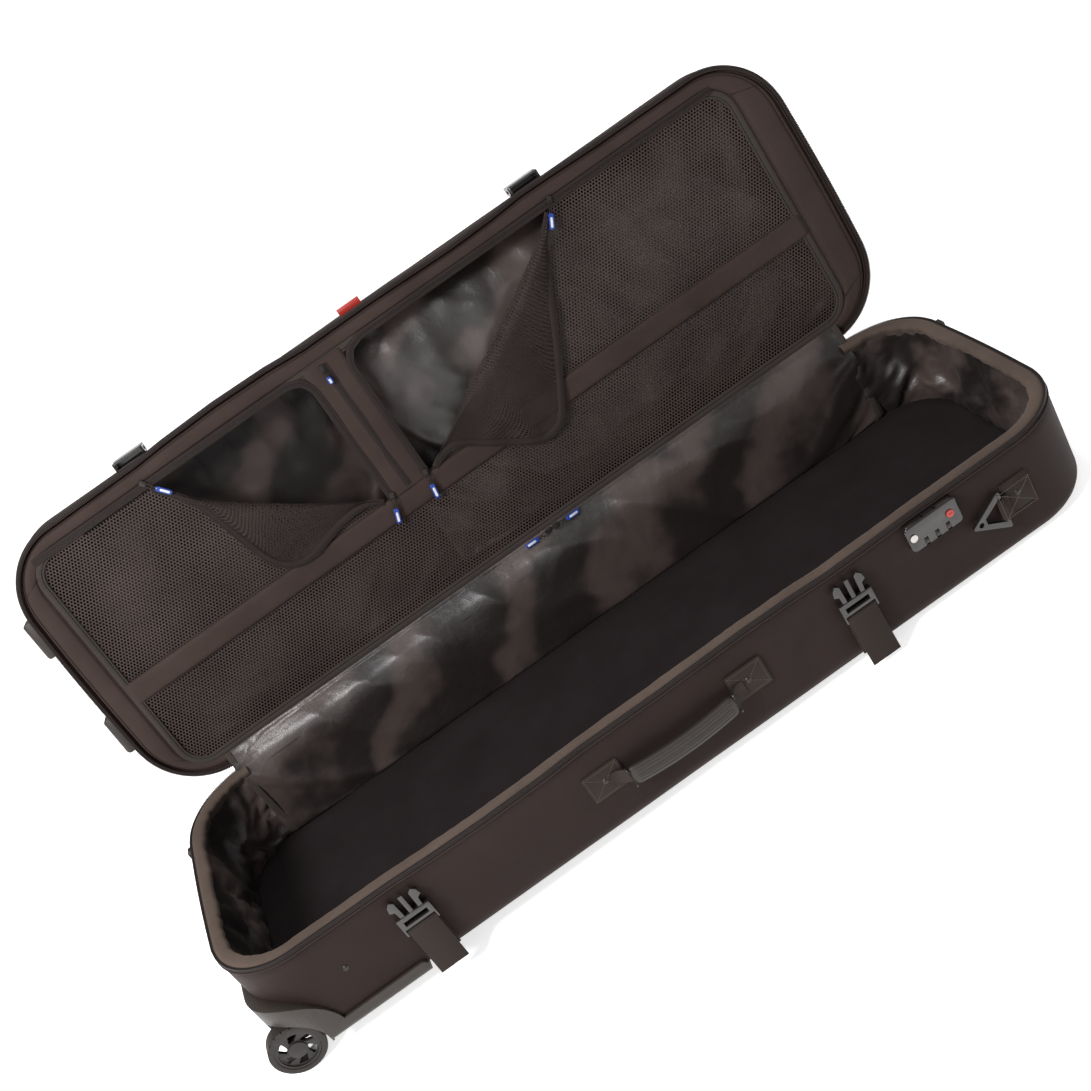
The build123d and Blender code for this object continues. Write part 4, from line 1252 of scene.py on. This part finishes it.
    def folded_corner(self, name: str, fold: list, edge: list, lift: float,
                      seed: int) -> list[bpy.types.Object]:
        """The unzipped corner of a net panel, folded forward and hanging.

        Args:
            name: the piece's name.
            fold: points of the fold line.
            edge: points of the zip edge, from the same end.
            lift: how far it stands off the panel.
            seed: for its creases.

        Returns:
            The net corner, its edge binding and its teeth.
        """
        cols, rows = 90, 34
        a, b = smooth_path(fold, cols), smooth_path(edge, cols)
        t = np.linspace(0, 1, rows)[:, None, None]
        plan = a[None] * (1 - t) + b[None] * t
        soft = Seeded(seed, 8)
        share = t[..., 0]
        ends = np.sin(np.linspace(0, math.pi, cols))[None] ** 0.6
        roll = lift * np.interp(share, [0, 0.05, 0.12, 0.22, 0.55, 0.85, 1.0],
                                [0, 0.75, 1.0, 0.92, 0.55, 0.32, 0.42]) * ends
        crease = soft.at(plan[..., 0], plan[..., 1], 0.07) * 2.6 * MM * share * ends
        rise = np.maximum(0.001 + roll + crease, 0.0012)
        grid = self.bag.on_lid(plan[..., 0], plan[..., 1], rise)
        run = np.concatenate([[0], np.cumsum(np.linalg.norm(np.diff(a, axis=0), axis=1))])
        depth = np.linspace(0, float(np.linalg.norm(a - b, axis=1).max()), rows)
        # the folded corner takes the darker copy of the net finish, painted shade
        net = grid_piece(name, grid, "folded_net", run, depth, sharp=180)
        rim = grid[-1]
        side, normal = frames(rim, self.bag.lid_front)
        section = np.array([[-6.0, 0.4], [-5, 1.3], [5, 1.3], [6.0, 0.4], [5, -0.5], [-5, -0.5]]) * MM
        binding = sweep(rim, normal, side, section).transpose(1, 0, 2)
        tape = grid_piece(name + "_binding", binding, "binding", np.linspace(0, 0.026, 7), run, wrap=True,
                          caps=True)
        teeth_line = resample(rim + side * 4.5 * MM + normal * 1.5 * MM, 2.4 * MM)
        side, normal = frames(teeth_line, self.bag.lid_front)
        axes = np.stack([np.cross(normal, side), side, normal], 1)
        teeth = boxes(name + "_teeth", teeth_line, axes, np.array([0.8, 1.6, 0.8]) * MM, "coil", 0.7)
        return [net, tape, teeth]

    def zip_run(self, name: str, path: list[tuple[float, float]]) -> list[bpy.types.Object]:
        """A pocket's zip along the panel: tape and teeth."""
        flat = resample(np.array(path), 8 * MM)
        line = self.bag.on_lid(flat[:, 0], flat[:, 1], 3.0 * MM)
        side, normal = frames(line, self.bag.lid_front)
        section = np.array([[-6.5, -0.6], [-6, 0.3], [-2, 0.8], [2, 0.8], [6, 0.3], [6.5, -0.6]]) * MM
        tape = sweep(line, normal, side, section).transpose(1, 0, 2)
        run = np.linspace(0, 1, len(line)) * 8 * MM * len(line)
        band = grid_piece(name + "_tape", tape, "binding", np.linspace(0, 0.013, 6), run)
        dense = resample(line, 2.4 * MM)
        side, normal = frames(dense, self.bag.lid_front)
        axes = np.stack([np.cross(normal, side), side, normal], 1)
        teeth = boxes(name + "_teeth", dense + normal * 1.0 * MM, axes, np.array([0.8, 2.2, 0.7]) * MM,
                      "coil", 0.7)
        return [band, teeth]

    def back_lining(self, name: str, start: float, end: float, finish: str) -> bpy.types.Object:
        """Creased satin at the back of a pocket.

        Args:
            name: the piece's name.
            start: its end nearer the wheels.
            end: its other end.
            finish: its finish.

        Returns:
            The satin.
        """
        x = np.linspace(start, end, int((end - start) * 160))
        v = np.linspace(0.035, 0.476, 80)
        px, pv = np.meshgrid(x, v)
        soft, small = Seeded(81, 10), Seeded(82, 10)
        behind = np.interp(px, [0.0, 0.27, 0.40, 0.60, 0.66, 0.80, 1.08, 1.5],
                           np.array([52, 44, 56, 60, 50, 26, 20, 46]) * MM)
        edge = np.minimum.reduce([px - x[0], x[-1] - px, pv - v[0], v[-1] - pv]) / 0.07
        edge = np.clip(edge, 0, 1) ** 0.5
        behind = 0.058 + (behind - 0.058) * edge
        folds = 0.008 * soft.folds(px + pv * 0.5, pv * 0.6, 0.17) + 0.0025 * small.at(px, pv, 0.06)
        grid = self.bag.on_lid(px, pv, -(behind - folds * edge).clip(0.012, 0.064))
        piece = grid_piece(name, grid, finish, x, v, sharp=180)
        held = np.zeros(px.shape)
        held[:1] = held[-1:] = 1
        held[:, :1] = held[:, -1:] = 1
        simulate(piece, held.ravel(), 12, 0.03, 0.3, 10 * MM)
        return piece

    def build(self) -> None:
        """Makes and dresses the whole panel."""
        low, high, left, right = self.low, self.high, self.left, self.right
        settle(self.border(), "lid", "frame_fabric", "lid_frame")
        for piece in [self.binding(), *self.mitres()]:
            settle(piece, "lid", "frame_fabric")
        band = self.flat_band("divider_cloth", (left - 0.004, right + 0.004), self.band, 3 * MM, True)
        settle(band, "lid", "frame_fabric", "divider_band")
        strip = self.flat_band("centre_cloth", self.strip, (self.band[1] - 0.004, high + 0.004), 3 * MM,
                               False)
        settle(strip, "lid", "frame_fabric", "centre_strip")
        lower = self.net("lower_net",
                         [(left, low), (right, low), (right, self.band[0] + 0.004),
                          (left, self.band[0] + 0.004)], 91)
        settle(lower, "lid", "mesh", "mesh_lower")
        fold_left = [(0.294, 0.466), (0.330, 0.420), (0.380, 0.372), (0.450, 0.318), (0.530, 0.262),
                     (0.586, 0.226)]
        fold_right = [(0.682, 0.226), (0.752, 0.266), (0.812, 0.306), (0.883, 0.342), (0.978, 0.398),
                      (1.060, 0.450), (1.078, 0.466)]
        bottom = self.band[1] - 0.004
        outline_left = [(left, bottom), (left, high), *fold_left, (0.594, 0.224), (0.594, bottom)]
        outline_right = [(0.672, bottom), (0.672, 0.224), *fold_right, (1.078, high), (right, high),
                         (right, bottom)]
        edge_left = [(0.291, 0.462), (0.330, 0.408), (0.348, 0.349), (0.370, 0.262), (0.399, 0.227),
                     (0.440, 0.222), (0.503, 0.238), (0.554, 0.239), (0.582, 0.224)]
        edge_right = [(0.686, 0.223), (0.704, 0.233), (0.738, 0.235), (0.786, 0.203), (0.853, 0.160),
                      (0.886, 0.158), (0.912, 0.177), (0.955, 0.251), (0.993, 0.327), (1.036, 0.417),
                      (1.074, 0.462)]
        for side, outline, fold, edge, lift in (("left", outline_left, fold_left, edge_left, 0.0150),
                                                ("right", outline_right, fold_right, edge_right, 0.0170)):
            net = self.net(f"upper_net_{side}", outline, 92 + len(side))
            settle(net, "lid", "mesh", f"mesh_{side}")
            span = (outline[-1][0] - left, high - bottom) if side == "left" else (right - outline[0][0],
                                                                                  high - bottom)
            corner, *trim = self.folded_corner(f"folded_net_{side}", fold, edge, lift, 95 + len(side))
            settle(corner, "lid", "mesh")
            for piece in trim:
                settle(piece, "lid", "zip")
        zip_left = [(left + 0.01, high + 0.001), (0.560, high + 0.001), (0.586, high - 0.008),
                    (0.5975, high - 0.03), (0.5975, self.band[1])]
        zip_right = [(0.6685, self.band[1]), (0.6685, high - 0.03), (0.682, high - 0.008),
                     (0.708, high + 0.001), (right - 0.02, high + 0.001)]
        for name, path in (("pocket_zip_left", zip_left), ("pocket_zip_right", zip_right)):
            tape, teeth = self.zip_run(name, path)
            settle(tape, "lid", "zip", "pocket_zips")
            settle(teeth, "lid", "zip")
        seam = self.zip_run("centre_zip", [(0.633, self.band[1] + 0.004), (0.633, high - 0.004)])
        for piece in seam:
            settle(piece, "lid", "zip")
        middle = sum(self.strip) / 2
        # the left pocket's satin takes the darker copy of the lining, painted shade; both pockets have the
        # same cloth
        for name, start, end, finish in (("pocket_satin_left", 0.035, middle, "painted_shade_lining"),
                                         ("pocket_satin_right", middle, 1.465, "lining")):
            back = settle(self.back_lining(name, start, end, finish), "lid", "lining", "lid_lining")


def soften(piece: bpy.types.Object, radius: float) -> None:
    """Rounds a hard piece's edges so that they catch light."""
    weld = piece.modifiers.new("weld", "WELD")
    weld.merge_threshold = 0.02 * MM
    bevel = piece.modifiers.new("bevel", "BEVEL")
    bevel.width, bevel.segments = radius, 2
    bevel.limit_method, bevel.angle_limit = "ANGLE", math.radians(32)
    bevel.harden_normals = True
    piece.data.shade_smooth()


# ---- CAD hardware -------------------------------------------------------------------------
@dataclass
class Hardware:
    """CAD nodes that keep their own shape, with rounded edges and finishes."""

    frame: dict
    dress: dict = field(default_factory=lambda: {
        "guard": ["wheel_guard_front", "wheel_guard_rear", "stand_feet"],
        "tread": ["wheel_tyre_front", "wheel_tyre_rear"],
        "hub": ["wheel_hub_front", "wheel_hub_rear"],
        "steel": ["wheel_bearings_front", "wheel_bearings_rear", "axles", "axle_nuts", "guard_rivets",
                  "lock_button"],
        "dark_metal": ["wall_rivets", "lock_dial_left", "lock_dial_middle", "lock_dial_right",
                       "slider_main_left", "slider_main_right"],
        "buckle": ["buckle_plug_left", "buckle_plug_right", "buckle_socket_left", "buckle_socket_right",
                   "triangle_ring", "lock_case"],
        "red": ["key_cylinder", "side_tab"],
        "shell": ["base_hinge_flap", "lid_hinge_flap"],
        "webbing": ["handle_patches", "ring_patch", "front_straps", "lid_straps"],
    })

    def patch_stitches(self, node: str) -> bpy.types.Object:
        """Boxed crosses of thread on each patch of a node that is sewn to the front wall."""
        piece = self.frame["nodes"][node]
        spots = np.array([piece.matrix_world @ v.co for v in piece.data.vertices])
        groups = [spots[spots[:, 0] < 0], spots[spots[:, 0] >= 0]]
        rows = []
        for spot in (group for group in groups if len(group)):
            (x0, y0, z0), (x1, _, z1) = spot.min(0) + 4 * MM, spot.max(0) - 4 * MM
            y = y0 - 4.1 * MM
            a, b, c, d = (np.array([x, y, z]) for x, z in ((x0, z0), (x1, z0), (x1, z1), (x0, z1)))
            rows += [(a, b), (b, c), (c, d), (d, a), (a, c), (b, d)]
        out = np.array([0.0, -1.0, 0.0])
        return joined(node + "_stitches",
                      [stitches(f"{node}_row{k}", np.array(row), out) for k, row in enumerate(rows)])

    def build(self) -> None:
        """Gives each node its finish."""
        for finish, names in self.dress.items():
            for name in names:
                node = self.frame["nodes"][name]
                node.data.materials.clear()
                node.data.materials.append(finish_of(finish))
                soften(node, 0.9 * MM if finish in ("guard", "grip", "webbing") else 0.5 * MM)
                LOG.info("%s keeps its shape, finished in %s", name, finish)
        for node in ("handle_patches", "ring_patch"):
            settle(self.patch_stitches(node), "base", "webbing")


def joined(name: str, parts: list[bpy.types.Object]) -> bpy.types.Object:
    """Joins meshes of one finish into one piece."""
    verts, faces, uvs, start = [], [], [], 0
    for part in parts:
        mesh = part.data
        verts += [list(v.co) for v in mesh.vertices]
        faces += [[start + k for k in f.vertices] for f in mesh.polygons]
        layer = mesh.uv_layers["cloth"].data
        uvs += [list(corner.uv) for corner in layer]
        start += len(mesh.vertices)
    material = parts[0].data.materials[0]
    for part in parts:
        bpy.data.objects.remove(part)
    whole = new_piece(name, np.array(verts), faces, "white", np.array(uvs), 35)
    whole.data.materials.clear()
    whole.data.materials.append(material)
    return whole


def slab(name: str, outline: np.ndarray, thick: float, round_off: float, finish: str) -> bpy.types.Object:
    """A flat piece with a rounded rim, drawn about the origin.

    Args:
        name: the piece's name.
        outline: its outline in its own plane, anticlockwise.
        thick: its thickness.
        round_off: how far the rim is rounded.
        finish: its finish.

    Returns:
        The piece.
    """
    middle = outline.mean(0)
    rings = []
    for share, rise in ((0.0, -1.0), (0.0, -1.0), (0.35, -0.75), (0.0, 0.0), (0.35, 0.75), (1.0, 1.0)):
        inward = round_off if abs(rise) == 1.0 else round_off * share
        pull = outline - middle
        reach = np.linalg.norm(pull, axis=1, keepdims=True)
        flat = middle + pull * (1 - inward / np.maximum(reach, 1e-6))
        rings.append(np.concatenate([flat, np.full((len(flat), 1), rise * thick / 2)], 1))
    grid = np.stack(rings[1:])
    across = np.linspace(0, 0.08, len(outline) + 1)
    return grid_piece(name, grid, finish, across, np.linspace(0, 0.01, len(grid)), wrap=True, caps=True,
                      sharp=40)


def rounded_box(long: float, wide: float, radius: float, turn: int = 5) -> np.ndarray:
    """Outline of a rectangle with round corners."""
    points = []
    for k, (sx, sy) in enumerate(((1, 1), (-1, 1), (-1, -1), (1, -1))):
        angle = np.linspace(0, math.pi / 2, turn) + k * math.pi / 2
        middle = np.array([sx * (long / 2 - radius), sy * (wide / 2 - radius)])
        points.append(middle + radius * np.stack([np.cos(angle), np.sin(angle)], -1))
    return np.concatenate(points)


@dataclass(frozen=True)
class Puller:
    """A zip slider on the lid with its cord pull."""

    node: str
    body: str
    x: float
    up: float
    turn: float
    long: float = 0.040

    def _put(self, bag: Bag, piece: bpy.types.Object) -> bpy.types.Object:
        """Places a part drawn with the pull along -X and the panel behind it."""
        local = np.array([v.co for v in piece.data.vertices])
        c, s = math.cos(math.radians(self.turn)), math.sin(math.radians(self.turn))
        x = local[:, 0] * c - local[:, 1] * s
        y = local[:, 0] * s + local[:, 1] * c
        shut = np.stack([bag.end + self.x + x, bag.back - self.up + y, bag.panel - 5.3 * MM - local[:, 2]],
                        -1)
        piece.data.vertices.foreach_set("co", bag.opened(shut).astype(np.float32).ravel())
        piece.data.update()
        piece.data.flip_normals()
        return piece

    def _moved(self, piece: bpy.types.Object, shift: tuple[float, float, float]) -> bpy.types.Object:
        """Moves a part before it is placed."""
        piece.data.transform(Matrix.Translation(shift))
        return piece

    def build(self, bag: Bag) -> None:
        """Makes the slider, its cord and its tag."""
        name = self.node
        body = slab(name + "_b", rounded_box(0.013, 0.009, 0.003), 0.0045, 0.0008, "dark_metal")
        bridge = self._moved(slab(name + "_c", rounded_box(0.009, 0.0035, 0.0012), 0.003, 0.0006,
                                  "dark_metal"), (-0.001, 0, 0.0032))
        bail_line = [(-0.002, 0, 0.0048), (-0.006, 0.0026, 0.0052), (-0.012, 0.0030, 0.0056),
                     (-0.0145, 0, 0.0058),
                     (-0.012, -0.0030, 0.0056), (-0.006, -0.0026, 0.0052), (-0.002, 0, 0.0048)]
        bail = tube(name + "_d", smooth_path(bail_line, 28), 0.0007, "dark_metal", count=6)
        metal = self._put(bag, joined(name + "_metal", [body, bridge, bail]))
        cord_line = [(-0.0135, 0.0, 0.0058), (-0.017, 0.0021, 0.0060), (-0.021, 0.0016, 0.0056),
                     (-0.013 - self.long * 0.55, 0.0014, 0.0054)]
        mirrored = [(x, -y, z) for x, y, z in cord_line[::-1]]
        cord = self._put(bag, tube(name + "_cord", smooth_path(mirrored + cord_line, 30), 0.0010, "binding",
                                   count=6))
        tag_long = self.long * 0.68
        tag = slab(name + "_tag", rounded_box(tag_long, 0.0086, 0.0036, 7), 0.0034, 0.0011, "blue")
        tag = self._put(bag, self._moved(tag, (-0.008 - self.long + tag_long / 2, 0, 0.0054)))
        core = slab(name + "_core", rounded_box(tag_long * 0.62, 0.0040, 0.0018), 0.0008, 0.0003, "white")
        core = self._put(bag, self._moved(core, (-0.0085 - self.long + tag_long * 0.46, 0, 0.0073)))
        settle(metal, self.body, "zip", self.node)
        settle(cord, self.body, "pull")
        settle(tag, self.body, "pull")
        settle(core, self.body, "pull")


@dataclass
class CarryHandle:
    """Arched grip and the webbing that ties it to its patches."""

    bag: Bag
    frame: dict
    end_round: float = 12 * MM
    arch_rise: float = 4.8 * MM
    rib_depth: float = 1.3 * MM
    ribs: int = 3
    webbing_half: float = 13.5 * MM
    ring_cord: float = 1.7 * MM

    def build(self) -> None:
        """Makes the grip, its webbing and the end rings."""
        body = self.frame["nodes"]["handle_grip"]["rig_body"]
        low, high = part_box("handle_grip")
        middle = (np.array(low) + np.array(high)) / 2
        half = (high.x - low.x) / 2
        tall, thick = (high.z - low.z) / 2, (high.y - low.y) / 2
        x = np.linspace(-half, half, 71)
        angle = np.linspace(0, TAU, 57)[:-1]
        end = 1 - np.clip((half - np.abs(x)) / self.end_round, 0, 1)
        taper = (0.70 + 0.30 * np.sqrt(1 - end**2))[:, None]
        arch = self.arch_rise * (1 - (x / half) ** 2)[:, None]
        round_y = np.sign(np.cos(angle)) * np.abs(np.cos(angle)) ** 0.7
        round_z = np.sign(np.sin(angle)) * np.abs(np.sin(angle)) ** 0.85
        rib = self.rib_depth * np.cos(round_z * self.ribs * math.pi) ** 2 * (round_y < -0.3)
        ribbed = rib[None] * (taper > 0.95)
        y = middle[1] + 0.002 - arch * 0.7 + round_y[None] * (thick - 0.0015) * taper - ribbed
        z = middle[2] + 0.001 - arch + round_z[None] * tall * taper
        grip = np.stack(np.broadcast_arrays(x[:, None], y, z), -1)
        around = np.linspace(0, 0.09, len(angle) + 1)
        run = np.linspace(0, 2 * half, len(x))
        piece = grid_piece("grip_body", grip, "grip", around, run, wrap=True, caps=True, sharp=40)
        settle(piece, body, "grip_rubber", "handle_grip")
        rings = []
        wall = self.bag.front - 3.4 * MM
        for side in (-1, 1):
            path = smooth_path([(side * 0.117, wall - 0.001), (side * 0.108, wall - 0.0016),
                                (side * 0.100, wall - 0.006),
                                (side * (half - 0.004), middle[1] + 0.002),
                                (side * (half - 0.012), middle[1])], 22)
            v = np.array([-1.0, -0.96, -0.5, 0, 0.5, 0.96, 1.0, 0.96, 0.5, 0, -0.5, -0.96])
            skin = np.array([0, 0.8, 1, 1, 1, 0.8, 0, -0.8, -1, -1, -1, -0.8]) * 1.5 * MM
            sag = np.linspace(0, 0.004, len(path))
            zs = middle[2] + 0.004 - sag[:, None] + v[None] * self.webbing_half
            grid = np.stack(np.broadcast_arrays(path[:, :1], path[:, 1:] - skin[None], zs), -1)
            across = np.linspace(0, 0.054, len(v) + 1)
            name = f"handle_webbing_{'left' if side < 0 else 'right'}"
            strap = grid_piece(name, grid, "webbing", across, np.linspace(0, 0.05, len(path)), wrap=True,
                               caps=True)
            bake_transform(strap)
            loop = rounded_box(0.0345, 0.0105, 0.004, 5)
            flat = np.full(len(loop), side * (half + 0.0015))
            ring = np.stack([flat, middle[1] + 0.0015 + loop[:, 1], middle[2] + loop[:, 0]], -1)
            rings.append(tube(f"hr{side + 2}", np.concatenate([ring, ring[:1]]), self.ring_cord,
                              "dark_metal"))
        settle(joined("handle_rings", rings), body, "dark_metal", "handle_loops")


def pullers(frame: dict, bag: Bag) -> list[Puller]:
    """Every slider on the lid."""
    top, side = bag.width - 0.038 + 0.005, 0.226
    spots = {"slider_pocket_left_top": (0.284, top, -128, 0.040),
             "slider_pocket_left_side": (0.599, side, -70, 0.040),
             "slider_pocket_right_side": (0.667, side, -82, 0.040),
             "slider_pocket_right_top": (1.086, top, -62, 0.040),
             "slider_centre": (0.627, top - 0.014, -90, 0.020), "slider_hinge_left": (0.782, 0.019, 0, 0.040),
             "slider_hinge_right": (0.797, 0.019, 180, 0.040)}
    return [Puller(node, frame["nodes"][node]["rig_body"], *spot) for node, spot in spots.items()]


# ---- stage --------------------------------------------------------------------------------
@dataclass(frozen=True)
class Lamp:
    """A square soft light: where it stands, its side in metres and its power in watts."""

    name: str
    place: tuple[float, float, float]
    side: float
    power: float


LAMPS = (
    Lamp("key", (-2.1, -1.5, 2.5), 0.9, 135.0),
    Lamp("fill", (-1.4, -3.0, 1.2), 1.6, 16.0),
    Lamp("back", (0.2, 1.0, 3.0), 1.2, 40.0),
)


@dataclass
class Studio:
    """Camera, pale floor and soft lights."""

    bag: Bag
    eye: tuple[float, float, float] = (-0.0809, -2.0098, 1.4818)
    aim: tuple[float, float, float] = (0.018226, 0.862075, -0.506453)
    roll: float = -34.599
    lens: float = 50.32
    shift: tuple[float, float] = (0.0110, 0.0273)
    surround: float = 0.38
    floor_glow: float = 0.68
    floor_half: float = 60.0

    def camera(self) -> None:
        """Sets the camera."""
        data = bpy.data.cameras.new("camera")
        data.lens, data.sensor_width = self.lens, 36.0
        data.shift_x, data.shift_y = self.shift
        eye = bpy.data.objects.new("camera", data)
        bpy.context.scene.collection.objects.link(eye)
        look = Vector(self.aim).to_track_quat("-Z", "Y").to_matrix()
        turn = look @ Matrix.Rotation(math.radians(self.roll), 3, "Z")
        eye.matrix_world = Matrix.Translation(self.eye) @ turn.to_4x4()
        bpy.context.scene.camera = eye

    def floor(self) -> None:
        """Pale floor under the wheels and the far end of the base."""
        wheel_low, wheel_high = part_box("wheel_tyre_front")
        contact_x = (wheel_low.x + wheel_high.x) / 2
        far_x = self.bag.length / 2 - self.bag.edge
        slope = (0.0 - wheel_low.z) / (far_x - contact_x)
        half = self.floor_half
        corners = [(x, y, wheel_low.z + (x - contact_x) * slope - 1 * MM) for x,
                   y in ((-half, -half), (half, -half), (half, half), (-half, half))]
        kit = Kit("pale_floor")
        grain = kit.noise(3.0, 3.0)
        material = kit.finish(Base_Color=kit.mix(grain, (0.90, 0.90, 0.90), (0.94, 0.94, 0.94)),
                              Roughness=grain * 0.1 + 0.8,
                              Emission_Color=(1.0, 1.0, 1.0), Emission_Strength=self.floor_glow,
                              Specular_IOR_Level=0.0)
        floor = new_piece("studio_floor", np.array(corners), [[0, 1, 2, 3]], "white")
        floor.data.materials.clear()
        floor.data.materials.append(material)

    def lights(self) -> None:
        """Soft lights with an even surround."""
        world = bpy.data.worlds.new("surround")
        bpy.context.scene.world = world
        world.use_nodes = True
        background = world.node_tree.nodes["Background"]
        background.inputs[0].default_value = (1.0, 1.0, 1.0, 1)
        background.inputs[1].default_value = self.surround
        aim = Vector((0, 0, 0.2))
        for lamp in LAMPS:
            data = bpy.data.lights.new(lamp.name, "AREA")
            data.size, data.energy = lamp.side, lamp.power
            light = bpy.data.objects.new(lamp.name, data)
            bpy.context.scene.collection.objects.link(light)
            turn = (aim - Vector(lamp.place)).to_track_quat("-Z", "Y").to_matrix().to_4x4()
            light.matrix_world = Matrix.Translation(lamp.place) @ turn

    def build(self) -> None:
        """Makes the stage."""
        bpy.context.scene.view_settings.view_transform = "Standard"
        self.camera()
        self.floor()
        self.lights()


def main() -> None:
    """Builds the bag around the frame."""
    logging.basicConfig(level=logging.INFO, format="%(name)s: %(message)s")
    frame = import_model()
    bag = Bag(frame)
    outline = Outline(bag)
    Studio(bag).build()
    Shells(bag, outline).build()
    Compartment(bag, outline).build()
    PocketPanel(bag, outline).build()
    Hardware(frame).build()
    CarryHandle(bag, frame).build()
    for puller in pullers(frame, bag):
        puller.build(bag)


if __name__ == "__main__":
    main()
